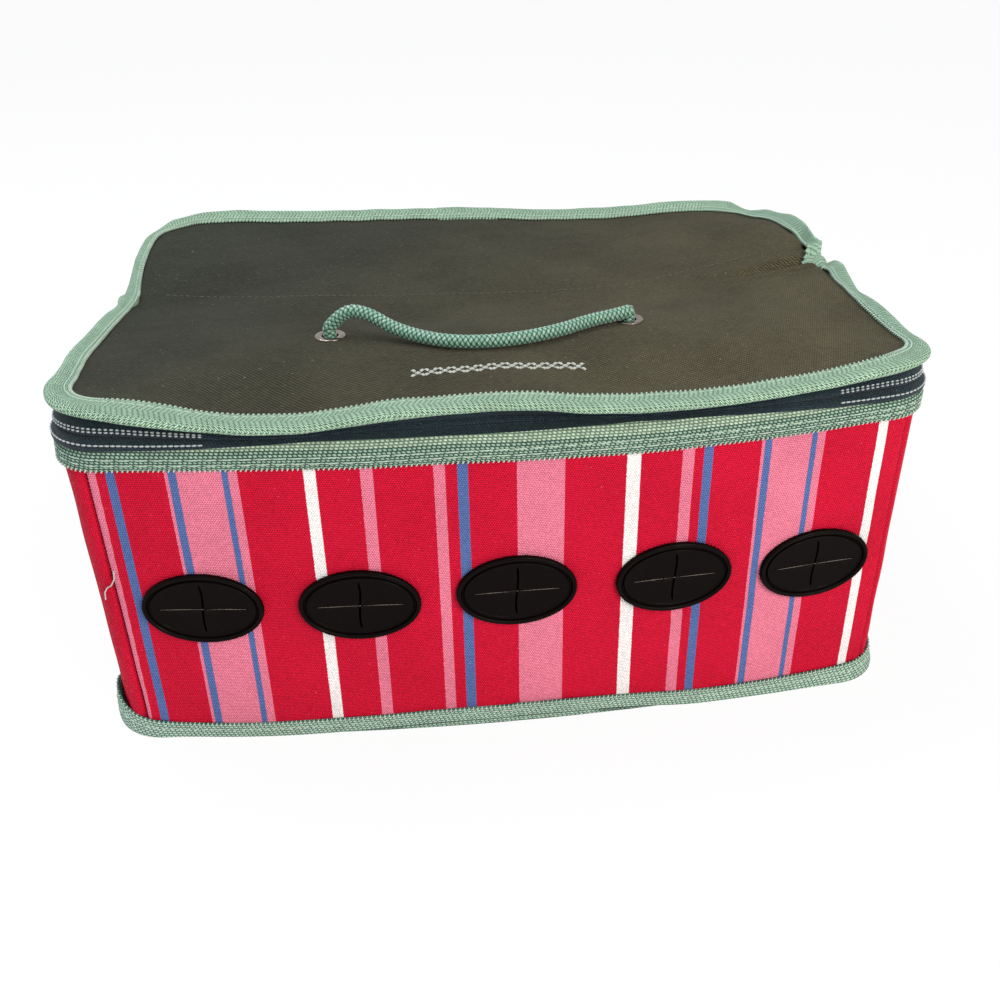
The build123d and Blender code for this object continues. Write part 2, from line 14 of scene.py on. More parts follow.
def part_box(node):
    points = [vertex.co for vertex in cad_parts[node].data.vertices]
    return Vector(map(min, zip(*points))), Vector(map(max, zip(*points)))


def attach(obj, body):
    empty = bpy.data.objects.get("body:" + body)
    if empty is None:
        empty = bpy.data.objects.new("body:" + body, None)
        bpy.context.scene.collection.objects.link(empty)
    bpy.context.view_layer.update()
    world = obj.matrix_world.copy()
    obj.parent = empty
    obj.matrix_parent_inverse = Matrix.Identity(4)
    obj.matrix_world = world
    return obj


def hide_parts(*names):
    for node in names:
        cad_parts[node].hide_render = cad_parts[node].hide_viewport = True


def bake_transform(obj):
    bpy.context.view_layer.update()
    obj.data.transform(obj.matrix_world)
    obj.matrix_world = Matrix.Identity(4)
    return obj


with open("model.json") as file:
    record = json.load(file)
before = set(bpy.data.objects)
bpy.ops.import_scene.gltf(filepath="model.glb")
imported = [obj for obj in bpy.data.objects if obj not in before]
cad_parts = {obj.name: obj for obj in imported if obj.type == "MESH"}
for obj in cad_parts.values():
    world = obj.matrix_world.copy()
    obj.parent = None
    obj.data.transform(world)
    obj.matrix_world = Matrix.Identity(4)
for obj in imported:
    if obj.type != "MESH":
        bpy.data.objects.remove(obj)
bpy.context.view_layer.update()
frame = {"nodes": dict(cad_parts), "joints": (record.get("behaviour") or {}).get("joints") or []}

# A soft sided ribbon organizer of striped canvas, with five rubber slots in its front,
# a spool rod inside and a zipped lid that folds in two. Metres, in the frame of the
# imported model: +X is right, -Y is the front and +Z is up.

MM = 0.001
Array = np.ndarray
Colour = tuple[float, float, float, float]
Socket = bpy.types.NodeSocket
Path = Callable[[Array], Array]
Row = tuple[float, ...]
Piece = bpy.types.Object
UPRIGHT = np.array([0.0, 0.0, 1.0])
log = logging.getLogger("organizer")


class Facing(Enum):
    """The way that the faces of a grid look."""

    SOLID = "outwards, as the skin of a closed solid"
    UP = "up"
    DOWN = "down"
    OUT = "away from the middle of the box"
    IN = "towards the middle of the box"


class Side(Enum):
    """The four walls."""

    FRONT = "front"
    RIGHT = "right"
    BACK = "back"
    LEFT = "left"


def ink(code: str) -> Colour:
    """Turn a colour code of six digits into linear red, green, blue and alpha."""
    parts = np.array([int(code[i : i + 2], 16) for i in (0, 2, 4)]) / 255
    linear = np.where(parts <= 0.04045, parts / 12.92, ((parts + 0.055) / 1.055) ** 2.4)
    return (*linear.tolist(), 1.0)


def smooth(value: Array, low: float, high: float) -> Array:
    """Rise from 0 at low to 1 at high along the curve 3t2 - 2t3."""
    t = np.clip((value - low) / (high - low), 0, 1)
    return t * t * (3 - 2 * t)


def bell(value: Array, middle: float, width: float) -> Array:
    """A bump of height 1: exp of minus the square of the distance over the width."""
    return np.exp(-(((value - middle) / width) ** 2))


def ripple(x: Array, y: Array, length: float, seed: int) -> Array:
    """A smooth uneven field from about -1 to 1.

    It is a third of the sum of six sine waves, whose directions and phases come from
    the seed and whose wave lengths lie from 0.7 to 1.6 times the length.

    Args:
        x: First coordinate, in metres.
        y: Second coordinate, in metres.
        length: Middle wave length, in metres.
        seed: Number that picks the field.

    Returns:
        The field, in the shape of x and y together.
    """
    random = np.random.default_rng(seed)
    waves = 6
    turns, phases, stretches = (random.uniform(*span, waves) for span in ((0, pi), (0, 2 * pi), (0.7, 1.6)))
    total = 0.0
    for turn, phase, stretch in zip(turns, phases, stretches):
        total = total + np.sin(2 * pi * (x * cos(turn) + y * sin(turn)) / (length * stretch) + phase)
    return total / (waves / 2)


def glide(x: Array, knots: Row, values: Row) -> Array:
    """Join given values by a smooth curve: cubic Hermite pieces with the knots' mean slopes.

    Args:
        x: Where to read the curve, in metres.
        knots: The given places, in millimetres.
        values: The values there, in millimetres.

    Returns:
        The curve's value at each x, in metres.
    """
    places, heights = np.array(knots) * MM, np.array(values) * MM
    slopes = np.gradient(heights, places)
    x = np.clip(x, places[0], places[-1])
    low = np.clip(np.searchsorted(places, x) - 1, 0, len(places) - 2)
    width = places[low + 1] - places[low]
    t = (x - places[low]) / width
    ends = heights[low] * (1 + 2 * t) * (1 - t) ** 2 + heights[low + 1] * t**2 * (3 - 2 * t)
    return ends + width * t * (1 - t) * (slopes[low] * (1 - t) - slopes[low + 1] * t)


def bumps(value: Array, rows: tuple[Row, ...]) -> Array:
    """Add up bells, each given by its middle, its width and its height in millimetres."""
    return sum(height * MM * bell(value, middle * MM, width * MM) for middle, width, height in rows)


def walked(line: Array) -> Array:
    """How far along a line each of its points lies, for points on the last axis but one."""
    step = np.linalg.norm(np.diff(line, axis=-2), axis=-1)
    return np.concatenate([np.zeros_like(step[..., :1]), np.cumsum(step, axis=-1)], axis=-1)


def opened(x: Array, y: Array, holes: list[Row], half: Row, core: float) -> tuple[Array, Array, Array]:
    """Cut oval holes out of a grid.

    A cell whose middle is in a hole goes, and the points inside a hole move straight out
    from its middle to its edge.

    Args:
        x: The grid's first coordinate.
        y: Its second coordinate.
        holes: Where the middles of the holes are.
        half: Half of a hole's width and height.
        core: Share of the hole round its middle where points stay, as no cell needs them.

    Returns:
        The two new coordinates, and which cells stay.
    """
    keep = np.ones((x.shape[0] - 1, x.shape[1] - 1), bool)
    for middle_x, middle_y in holes:
        a, b = (x - middle_x) / half[0], (y - middle_y) / half[1]
        off = np.hypot(a, b)
        keep &= (off[:-1, :-1] + off[1:, :-1] + off[:-1, 1:] + off[1:, 1:]) / 4 > 1
        grow = np.where((off < 1) & (off > core), 1 / np.maximum(off, core), 1.0)
        x, y = middle_x + a * grow * half[0], middle_y + b * grow * half[1]
    return x, y, keep


@dataclass(frozen=True)
class Plan:
    """A rounded outline with a bowed front and back, walked along its length.

    The walk starts at the middle of the front and turns towards +X. A place on it is
    a distance in metres, and the outline repeats after its whole length.

    Attributes:
        front_bow: How far the front's middle lies before its ends, and back_bow the back's.
        lift: How far the front's lower edge stands off the floor, at the places across it
            that lift_across gives.
    """

    half_width: float
    half_depth: float
    corner: float
    front_bow: float
    back_bow: float
    lift_across: Row = (-172, -90, -70, -42, -8, 30, 56, 74, 172)
    lift: Row = (0, 0, 0.8, 2.1, 2.7, 2.5, 1.5, 0, 0)

    def bow_radius(self, sign: int) -> float:
        """The radius of the front's bow for sign -1, or of the back's for 1."""
        bow = self.front_bow if sign < 0 else self.back_bow
        return (self.half_width**2 + bow**2) / (2 * bow)

    def corner_of(self, sign: int) -> tuple[float, float, float]:
        """Find the arc of a corner on the right.

        Args:
            sign: -1 for the front corner and 1 for the back one.

        Returns:
            Its centre in x and y, and the angle from the Y axis where it meets the bow.
        """
        radius = self.bow_radius(sign)
        x = self.half_width - self.corner
        y = sign * (self.half_depth - radius + sqrt((radius - self.corner) ** 2 - x**2))
        return x, y, float(np.arcsin(x / (radius - self.corner)))

    @cached_property
    def walk(self) -> tuple[Array, Array, Array, Array]:
        """The outline's places, x, y and outward angle, as five arcs and sides in turn.

        The right half is the front's bow, a corner, the side, a corner and the back's
        bow, and the left half is its mirror image.
        """
        steps = np.linspace(0, 1, 400)
        spans = []
        for sign in (-1, 1):
            radius = self.bow_radius(sign)
            x, y, lean = self.corner_of(sign)
            turn = sign * (pi / 2 - lean * steps)
            middle = sign * (self.half_depth - radius)
            bow_span = (radius * np.cos(turn), middle + radius * np.sin(turn), turn)
            turn = sign * (pi / 2 - lean) * (1 - steps)
            corner_span = (x + self.corner * np.cos(turn), y + self.corner * np.sin(turn), turn)
            pair = [bow_span, corner_span]
            spans += pair if sign < 0 else [tuple(a[::-1] for a in span) for span in pair[::-1]]
        right = [np.concatenate([span[k] for span in spans]) for k in range(3)]
        x = np.concatenate([right[0], -right[0][::-1]])
        y = np.concatenate([right[1], right[1][::-1]])
        turn = np.concatenate([right[2], pi - right[2][::-1]])
        place = np.concatenate([[0], np.cumsum(np.hypot(np.diff(x), np.diff(y)))])
        return place, x, y, turn

    @property
    def length(self) -> float:
        """The whole way round."""
        return float(self.walk[0][-1])

    def at(self, place: Array, inset: Array = 0.0) -> Array:
        """Find points beside the outline: the outline's point less inset times its normal.

        Args:
            place: Distances along the outline.
            inset: How far inside the outline, in an array that fits place.

        Returns:
            The points, with x and y on the last axis.
        """
        places, x, y, turn = self.walk
        place, inset = np.broadcast_arrays(np.mod(place, self.length), inset)
        angle = np.interp(place, places, turn)
        x = np.interp(place, places, x) - inset * np.cos(angle)
        y = np.interp(place, places, y) - inset * np.sin(angle)
        return np.stack([x, y], axis=-1)

    def place_of_angle(self, angle: float) -> float:
        """Find the place where the outward normal has an angle, in radians from +X."""
        return float(np.interp(angle, self.walk[3], self.walk[0]))

    def side_place(self, y: float) -> float:
        """Find the place on the straight right hand side at a depth y."""
        places, x, ys, turn = self.walk
        right = (np.abs(turn) < 1e-9) & (x > 0)
        start = places[right][0]
        return float(start + y - ys[right][0])

    def off_floor(self, place: Array) -> Array:
        """How far the lower edge stands off the floor at places along the outline."""
        spot = self.at(place)
        return glide(spot[..., 0], self.lift_across, self.lift) * smooth(-spot[..., 1], 90 * MM, 115 * MM)

    def filled(self, inset: float, across: int, deep: int) -> Array:
        """Fill the outline with a grid, by rings of a square stretched onto it.

        A point (a, b) of the square from -1 to 1 lies on the ring m = max(|a|, |b|),
        and goes to m times the outline's point at the same share of the way round.

        Args:
            inset: How far inside the outline the outermost ring lies.
            across: Number of cells from left to right.
            deep: Number of cells from front to back.

        Returns:
            The points in plan, deep + 1 by across + 1 by 2.
        """
        a, b = np.meshgrid(np.linspace(-1, 1, across + 1), np.linspace(-1, 1, deep + 1))
        ring = np.maximum(np.maximum(np.abs(a), np.abs(b)), 1e-9)
        p, q = a / ring, b / ring
        front, back = q <= -1 + 1e-9, q >= 1 - 1e-9
        share = np.where(p > 0, 2 + q, 6 - q)
        share = np.where(back, 4 - p, share)
        share = np.where(front, np.mod(p, 8), share)
        corners = [self.place_of_angle(t) for t in (-pi / 4, pi / 4, 3 * pi / 4, 5 * pi / 4)]
        knots = [0, *corners, self.length]
        return self.at(np.interp(share, [0, 1, 3, 5, 7, 8], knots), inset) * ring[..., None]


def raised(flat: Array, height: Array) -> Array:
    """Put points in plan at their heights."""
    return np.concatenate([flat, np.broadcast_to(height, flat.shape[:-1])[..., None]], axis=-1)


def unit(vectors: Array) -> Array:
    """Scale vectors on the last axis to length 1."""
    return vectors / np.maximum(np.linalg.norm(vectors, axis=-1, keepdims=True), 1e-12)


def ribbon(path: Array, thickness: float) -> tuple[Array, Array]:
    """Give a line in cross-section a thickness: the line moved half of it both ways.

    Args:
        path: Points of the line, ... by K by 2.
        thickness: How thick the ribbon is.

    Returns:
        The closed outline, ... by 2K + 3 by 2, with a nose at each end, and for each of
        its points the distance along the line.
    """
    ahead = unit(np.gradient(path, axis=-2))
    beside = np.stack([-ahead[..., 1], ahead[..., 0]], axis=-1) * thickness / 2
    along = walked(path)
    nose = ahead * thickness * 0.4
    outer, inner = path + beside, path - beside
    start, end = path[..., :1, :] - nose[..., :1, :], path[..., -1:, :] + nose[..., -1:, :]
    loop = np.concatenate([outer, end, inner[..., ::-1, :], start, outer[..., :1, :]], axis=-2)
    low, high = along[..., :1], along[..., -1:]
    return loop, np.concatenate([along, high, along[..., ::-1], low, low], axis=-1)


class Skin:
    """A mesh while it is gathered from grids and stamped copies, before it is an object."""

    def __init__(self) -> None:
        """Start with nothing in it."""
        self.points: list[Array] = []
        self.quads: list[Array] = []
        self.uvs: list[Array] = []
        self.count = 0

    def put(self, points: Array, quads: Array, uvs: Array) -> None:
        """Add points, faces of four that count from 0, and each face corner's UV."""
        self.points.append(points.reshape(-1, 3))
        self.quads.append(quads + self.count)
        self.uvs.append(uvs)
        self.count += points.reshape(-1, 3).shape[0]

    def grid(
        self,
        points: Array,
        u: Array,
        v: Array,
        facing: Facing = Facing.SOLID,
        weld_rows: bool = False,
        weld_columns: bool = False,
        capped: bool = False,
        keep: Array | None = None,
    ) -> "Skin":
        """Add a surface: points of a grid, where each cell becomes a face.

        Args:
            points: The grid, rows by columns by 3. A welded direction repeats its first
                line at its end, and the repeat is dropped.
            u: First texture coordinate in metres, in a shape that fits the grid.
            v: Second texture coordinate in metres, in a shape that fits the grid.
            facing: The way that the faces look.
            weld_rows: Whether the last row is the first one again.
            weld_columns: Whether the last column is the first one again.
            capped: Whether the first and last rows are closed with faces.
            keep: Which cells become faces, one fewer than the grid each way.

        Returns:
            This skin.
        """
        rows, columns = points.shape[:2]
        own_rows, own_columns = rows - weld_rows, columns - weld_columns
        index = (np.arange(rows) % own_rows)[:, None] * own_columns + np.arange(columns) % own_columns
        uv = np.stack(np.broadcast_arrays(u, v), axis=-1) * np.ones((rows, columns, 1))
        quads = self.cells(index)
        uvs = self.cells(uv)
        if keep is not None:
            quads, uvs = quads[keep.ravel()], uvs[keep.ravel()]
        if capped:
            low = np.arange(own_columns // 2 - 1)
            high = own_columns - 1 - low
            first = np.stack([low + 1, low, high, high - 1], axis=-1)
            last = np.stack([low, low + 1, high - 1, high], axis=-1)
            quads = np.concatenate([quads, first, last + (own_rows - 1) * own_columns])
            uvs = np.concatenate([uvs, uv[0][first], uv[-1][last]])
        flat = points[:own_rows, :own_columns].reshape(-1, 3)
        if self.turned_over(flat, quads, facing):
            quads, uvs = quads[:, ::-1], uvs[:, ::-1]
        self.put(flat, quads, uvs)
        return self

    @staticmethod
    def cells(grid: Array) -> Array:
        """List each cell's four corners, in order round the cell."""
        parts = [grid[:-1, :-1], grid[:-1, 1:], grid[1:, 1:], grid[1:, :-1]]
        return np.stack(parts, axis=2).reshape(-1, 4, *grid.shape[2:])

    @staticmethod
    def turned_over(points: Array, quads: Array, facing: Facing) -> bool:
        """Tell whether faces look the wrong way, from their areas and middles.

        Args:
            points: The points.
            quads: The faces.
            facing: The way that they should look.

        Returns:
            Whether they do.
        """
        a, b, c, d = (points[quads[:, k]] for k in range(4))
        area, middle = np.cross(c - a, d - b) / 2, (a + b + c + d) / 4
        if facing is Facing.SOLID:
            return bool(((middle - points.mean(0)) * area).sum() < 0)
        if facing in (Facing.UP, Facing.DOWN):
            return bool(area[:, 2].sum() < 0) == (facing is Facing.UP)
        outwards = (middle[:, :2] * area[:, :2]).sum()
        return bool(outwards < 0) == (facing is Facing.OUT)

    def stamp(self, template: "Skin", origins: Array, axes: Array) -> "Skin":
        """Add a copy of a small shape at each place.

        Args:
            template: The shape, made about the origin.
            origins: Where its origin goes, N by 3.
            axes: Where its x, y and z axes go, N by 3 by 3.

        Returns:
            This skin.
        """
        points, quads, uvs = template.joined()
        copies = origins[:, None] + points @ axes
        offsets = np.arange(len(origins))[:, None, None] * len(points)
        self.put(copies, (quads + offsets).reshape(-1, 4), np.tile(uvs, (len(origins), 1, 1)))
        return self

    def joined(self) -> tuple[Array, Array, Array]:
        """All points, faces and UVs, without the points that no face uses."""
        points, quads = np.concatenate(self.points), np.concatenate(self.quads)
        used, quads = np.unique(quads, return_inverse=True)
        return points[used], quads.reshape(-1, 4), np.concatenate(self.uvs)

    def make(self, name: str, finish: "Finish") -> Piece:
        """Make the object.

        Args:
            name: The piece's name.
            finish: What it is made of.

        Returns:
            The object.
        """
        points, quads, uvs = self.joined()
        mesh = bpy.data.meshes.new(name)
        mesh.from_pydata(points.tolist(), [], quads.tolist())
        layer = mesh.uv_layers.new(name="UVMap")
        layer.data.foreach_set("uv", uvs.astype(np.float32).ravel())
        mesh.polygons.foreach_set("use_smooth", np.ones(len(quads), bool))
        mesh.update()
        mesh.materials.append(finish.material())
        piece = bpy.data.objects.new(name, mesh)
        bpy.context.scene.collection.objects.link(piece)
        return piece


def thicken(piece: Piece, thickness: float) -> None:
    """Give a sheet its thickness, behind its faces."""
    modifier = piece.modifiers.new("thickness", "SOLIDIFY")
    modifier.thickness = thickness
    modifier.offset = -1.0
    modifier.use_rim = True


def tube(centres: Array, radius: Array, sides: int, reference: Array) -> tuple[Array, Array]:
    """Find the rings of a tube: centre plus radius times the ring's two axes.

    Args:
        centres: The line that it follows, K by 3.
        radius: The radius at each ring and side, in a shape that fits K by sides + 1.
        sides: How many sides it has.
        reference: A direction that the line never takes.

    Returns:
        The rings, K by sides + 1 by 3, and the angle of each side.
    """
    ahead = unit(np.gradient(centres, axis=0))
    first = unit(reference - (ahead @ reference)[:, None] * ahead)
    second = np.cross(ahead, first)
    angle = np.linspace(0, 2 * pi, sides + 1)
    spoke = np.cos(angle)[:, None] * first[:, None] + np.sin(angle)[:, None] * second[:, None]
    radius = np.broadcast_to(radius, (len(centres), sides + 1))
    return centres[:, None] + spoke * radius[..., None], angle


def spread_evenly(line: Array, step: float) -> Array:
    """Walk a line again in even steps."""
    along = walked(line)
    places = np.linspace(0, along[-1], int(np.ceil(along[-1] / step)) + 1)
    return np.stack([np.interp(places, along, line[:, k]) for k in range(3)], axis=1)


def stitch(length: float, radius: float, rise: float) -> Skin:
    """Make one stitch along x: an arched thread whose two ends dive into the cloth."""
    x = np.linspace(-0.5, 0.5, 5)
    centres = np.stack([x * length, 0 * x, rise * (1 - (2 * x) ** 2) - 0.4 * radius], axis=1)
    thin = radius * (0.55 + 0.45 * np.sqrt(np.maximum(1 - (2 * x) ** 2, 0)))
    rings, angle = tube(centres, thin[:, None], 6, np.array([0.0, 1.0, 0.0]))
    return Skin().grid(rings, x[:, None] * length, angle * radius, weld_columns=True, capped=True)


def frames_along(points: Array, up: Array) -> tuple[Array, Array]:
    """Find the middle and the axes of each run of a line of points.

    Args:
        points: The line, N + 1 by 3.
        up: The direction out of the cloth, the same all over or N by 3.

    Returns:
        The runs' middles, and their axes: along the run, across it and out.
    """
    along = unit(np.diff(points, axis=0))
    out = unit(up - (up * along).sum(1, keepdims=True) * along)
    return (points[:-1] + points[1:]) / 2, np.stack([along, np.cross(out, along), out], axis=1)


class Graph:
    """A node tree, with short calls for the nodes that the finishes use."""

    def __init__(self, tree: bpy.types.NodeTree) -> None:
        """Take the tree."""
        self.tree = tree

    def add(self, kind: str, **settings: object) -> bpy.types.Node:
        """Add a node and set its properties."""
        node = self.tree.nodes.new("ShaderNode" + kind)
        for name, value in settings.items():
            setattr(node, name, value)
        return node

    def feed(self, socket: Socket, value: object) -> None:
        """Link a socket to another, or give it a value."""
        if isinstance(value, bpy.types.NodeSocket):
            self.tree.links.new(value, socket)
        else:
            socket.default_value = value

    def fill(self, node: bpy.types.Node, **values: object) -> bpy.types.Node:
        """Feed a node's inputs by their names, which have _ here for each space."""
        for name, value in values.items():
            self.feed(node.inputs[name.replace("_", " ")], value)
        return node

    def math(self, operation: str, *values: object) -> Socket:
        """Work out one step of arithmetic."""
        node = self.add("Math", operation=operation)
        for socket, value in zip(node.inputs, values):
            self.feed(socket, value)
        return node.outputs[0]

    def vector(self, operation: str, first: object, second: object) -> Socket:
        """Work out one step of arithmetic on vectors."""
        node = self.add("VectorMath", operation=operation)
        self.feed(node.inputs[0], first)
        self.feed(node.inputs["Scale" if operation == "SCALE" else 1], second)
        return node.outputs[0]

    def split(self, vector: Socket) -> tuple[Socket, Socket, Socket]:
        """Take a vector apart."""
        node = self.add("SeparateXYZ")
        self.feed(node.inputs[0], vector)
        return node.outputs[0], node.outputs[1], node.outputs[2]

    def join(self, x: object, y: object, z: object) -> Socket:
        """Make a vector of three numbers."""
        node = self.add("CombineXYZ")
        for socket, value in zip(node.inputs, (x, y, z)):
            self.feed(socket, value)
        return node.outputs[0]

    def mix(self, share: object, first: object, second: object) -> Socket:
        """Mix two colours."""
        node = self.add("Mix", data_type="RGBA")
        self.feed(node.inputs[0], share)
        self.feed(node.inputs[6], first)
        self.feed(node.inputs[7], second)
        return node.outputs[2]

    def rise(self, value: object, low: float, high: float, start: float = 0.0, end: float = 1.0) -> Socket:
        """Turn a range of a value smoothly into another range."""
        node = self.add("MapRange", interpolation_type="SMOOTHSTEP")
        for socket, given in zip(node.inputs, (value, low, high, start, end)):
            self.feed(socket, given)
        return node.outputs[0]

    def noise(self, vector: Socket, scale: float, detail: float = 2.0) -> Socket:
        """Read plain noise, from about 0.2 to 0.8."""
        return self.fill(self.add("TexNoise"), Vector=vector, Scale=scale, Detail=detail).outputs[0]

    def vary(self, value: Socket, amount: float, base: object) -> Socket:
        """Add an amount times a value's distance from a half to a base."""
        return self.math("MULTIPLY_ADD", self.math("SUBTRACT", value, 0.5), amount, base)

    def swing(self, value: Socket) -> Socket:
        """Go from -1 to 1 as a value goes from each whole number to the next."""
        return self.math("MULTIPLY_ADD", self.math("FRACT", value), 2.0, -1.0)

    def arch(self, swing: Socket) -> Socket:
        """Make a bump of 1 less the square of a swing."""
        return self.math("SUBTRACT", 1.0, self.math("MULTIPLY", swing, swing))

    def chance(self, column: Socket, row: Socket) -> Socket:
        """Draw a number from 0 to 1 for each pair of whole numbers."""
        node = self.add("TexWhiteNoise", noise_dimensions="2D")
        return self.fill(node, Vector=self.join(column, row, 0.0)).outputs[0]

    def group(self, tree: bpy.types.NodeTree, **values: object) -> bpy.types.Node:
        """Place a shared group with its own values."""
        return self.fill(self.add("Group", node_tree=tree), **values)

    def bump(self, height: Socket, distance: float, strength: float = 1.0) -> Socket:
        """Turn a height into a normal."""
        return self.fill(self.add("Bump"), Strength=strength, Distance=distance, Height=height).outputs[0]

    def show(self, share: Socket, first: bpy.types.Node, second: bpy.types.Node, output: str) -> None:
        """Show a mix of two shaders on the output node of a name."""
        both = self.add("MixShader")
        for socket, value in zip(both.inputs, (share, first.outputs[0], second.outputs[0])):
            self.feed(socket, value)
        self.feed(self.tree.nodes[output].inputs[0], both.outputs[0])


def new_group(name: str, inputs: dict[str, str], outputs: list[str]) -> tuple[Graph, Socket, Socket]:
    """Start a shader node group.

    Args:
        name: The group's name.
        inputs: The kind of each input, Float or Vector, by its name.
        outputs: The names of the outputs, which are numbers.

    Returns:
        The group's graph, its inputs and its outputs.
    """
    tree = bpy.data.node_groups.new(name, "ShaderNodeTree")
    for label, kind in inputs.items():
        tree.interface.new_socket(label, in_out="INPUT", socket_type=f"NodeSocket{kind}")
    for label in outputs:
        tree.interface.new_socket(label, in_out="OUTPUT", socket_type="NodeSocketFloat")
    graph = Graph(tree)
    start, end = tree.nodes.new("NodeGroupInput"), tree.nodes.new("NodeGroupOutput")
    return graph, start.outputs, end.inputs


def thread_floats() -> bpy.types.NodeTree:
    """The group for threads that lie on a cloth in rows of rounded floats.

    The cloth is cut into cells, Along by Across metres, and each row starts Shift of a
    cell further on. Height is (1 - (2a - 1)2)(1 - (2b - 1)2) at the shares a and b of a
    cell, and Chance is a random number of the cell. Wander bends the rows a little.
    """
    name = "thread floats"
    if name in bpy.data.node_groups:
        return bpy.data.node_groups[name]
    kinds = {"Place": "Vector", "Along": "Float", "Across": "Float", "Shift": "Float", "Wander": "Float"}
    graph, given, out = new_group(name, kinds, ["Height", "Chance"])
    noise = graph.fill(graph.add("TexNoise"), Scale=55.0, Vector=given["Place"])
    bent = graph.vector("SUBTRACT", noise.outputs["Color"], (0.5, 0.5, 0.5))
    place = graph.vector("ADD", given["Place"], graph.vector("SCALE", bent, given["Wander"]))
    x, y, _ = graph.split(place)
    row = graph.math("DIVIDE", y, given["Across"])
    number = graph.math("FLOOR", row)
    column = graph.math("MULTIPLY_ADD", number, given["Shift"], graph.math("DIVIDE", x, given["Along"]))
    arches = [graph.arch(graph.swing(value)) for value in (row, column)]
    graph.feed(out["Height"], graph.math("MULTIPLY", *arches))
    graph.feed(out["Chance"], graph.chance(graph.math("FLOOR", column), number))
    return graph.tree


def soiling() -> bpy.types.NodeTree:
    """The group for uneven tone: Tone is soft clouds, and Lint is a few thin bright hairs."""
    name = "soiling"
    if name in bpy.data.node_groups:
        return bpy.data.node_groups[name]
    kinds = {"Place": "Vector", "Size": "Float", "Lint size": "Float"}
    graph, given, out = new_group(name, kinds, ["Tone", "Lint"])
    scales = (graph.math("DIVIDE", 1.0, given[size]) for size in ("Size", "Lint size"))
    coarse, fine = (graph.vector("SCALE", given["Place"], scale) for scale in scales)
    graph.feed(out["Tone"], graph.rise(graph.noise(coarse, 1.0, 4.0), 0.3, 0.7))
    hairs = graph.rise(graph.noise(fine, 1.0, 1.0), 0.7, 0.76)
    patches = graph.rise(graph.noise(fine, 0.23, 1.0), 0.5, 0.62)
    graph.feed(out["Lint"], graph.math("MULTIPLY", hairs, patches))
    return graph.tree


@dataclass(frozen=True)
class Finish:
    """What a piece is made of.

    Attributes:
        colour: Its main colour, which other ones are mixed into.
    """

    name: str
    colour: Colour
    roughness: float = 0.6

    def material(self) -> bpy.types.Material:
        """Find the material, or build it the first time.

        Returns:
            The material.
        """
        if self.name in bpy.data.materials:
            return bpy.data.materials[self.name]
        made = bpy.data.materials.new(self.name)
        made.use_nodes = True
        made.diffuse_color = self.colour
        graph = Graph(made.node_tree)
        self.dress(graph, graph.fill(made.node_tree.nodes["Principled BSDF"], Roughness=self.roughness))
        return made

    def dress(self, graph: Graph, shader: bpy.types.Node) -> None:
        """Link the nodes of this finish to the shader."""
        raise NotImplementedError

    def place(self, graph: Graph, name: str = "UV") -> Socket:
        """The coordinate that the pattern follows: UV on new pieces, Object on others."""
        return graph.add("TexCoord").outputs[name]


@dataclass(frozen=True)
class Woven(Finish):
    """A cloth or webbing of rounded floats, with darker gaps between them.

    Attributes:
        gap: Colour between the threads.
        along: Length of a float along u, in metres.
        across: Width of a float along v.
        shift: How far each row is moved on, in floats.
        relief: Height of a float.
        fullness: Low where the gaps are wide, high where they are thin.
        uneven: How much the threads differ in tone.
        wander: How far the rows bend.
        tone: How much it differs in tone from patch to patch.
        tone_size: Size of the patches.
        lint: Colour of the hairs that stick to it.
        lint_share: How much of it they cover.
        lint_size: How long they are.
        sheen: How fuzzy it is.
        gloss: How strongly it reflects.
    """

    gap: Colour = (0.0, 0.0, 0.0, 1.0)
    along: float = 1.0 * MM
    across: float = 1.0 * MM
    shift: float = 0.5
    relief: float = 0.2 * MM
    fullness: float = 0.5
    uneven: float = 0.3
    wander: float = 0.4 * MM
    tone: float = 0.2
    tone_size: float = 30 * MM
    lint: Colour = (0.6, 0.6, 0.55, 1.0)
    lint_share: float = 0.0
    lint_size: float = 0.9 * MM
    sheen: float = 0.0
    gloss: float = 0.15

    def spot(self, graph: Graph, place: Socket) -> Socket:
        """Where on the weave a place lies."""
        return place

    def threads(self, graph: Graph, place: Socket, chance: Socket) -> tuple[object, object]:
        """The colours of a thread and of the gap beside it."""
        return self.colour, self.gap

    def dress(self, graph: Graph, shader: bpy.types.Node) -> None:
        """Mix gap and thread by the height of the floats, and vary the tone.

        Args:
            graph: The material's graph.
            shader: Its main shader.
        """
        place = self.place(graph)
        spot = self.spot(graph, place)
        sizes = {"Along": self.along, "Across": self.across, "Shift": self.shift, "Wander": self.wander}
        height, chance = graph.group(thread_floats(), Place=spot, **sizes).outputs
        dirt = graph.group(soiling(), Place=place, Size=self.tone_size, Lint_size=self.lint_size)
        patches, hairs = dirt.outputs
        thread, gap = self.threads(graph, place, chance)
        colour = graph.mix(graph.rise(height, 0.0, 1 - self.fullness), gap, thread)
        tone = graph.vary(patches, self.tone, graph.vary(chance, self.uneven, 1.0))
        colour = graph.vector("SCALE", colour, tone)
        if self.lint_share:
            colour = graph.mix(graph.math("MULTIPLY", hairs, self.lint_share), colour, self.lint)
        graph.fill(shader, Base_Color=colour, Normal=graph.bump(height, self.relief))
        graph.fill(shader, Sheen_Weight=self.sheen, Sheen_Roughness=0.5, Specular_IOR_Level=self.gloss)


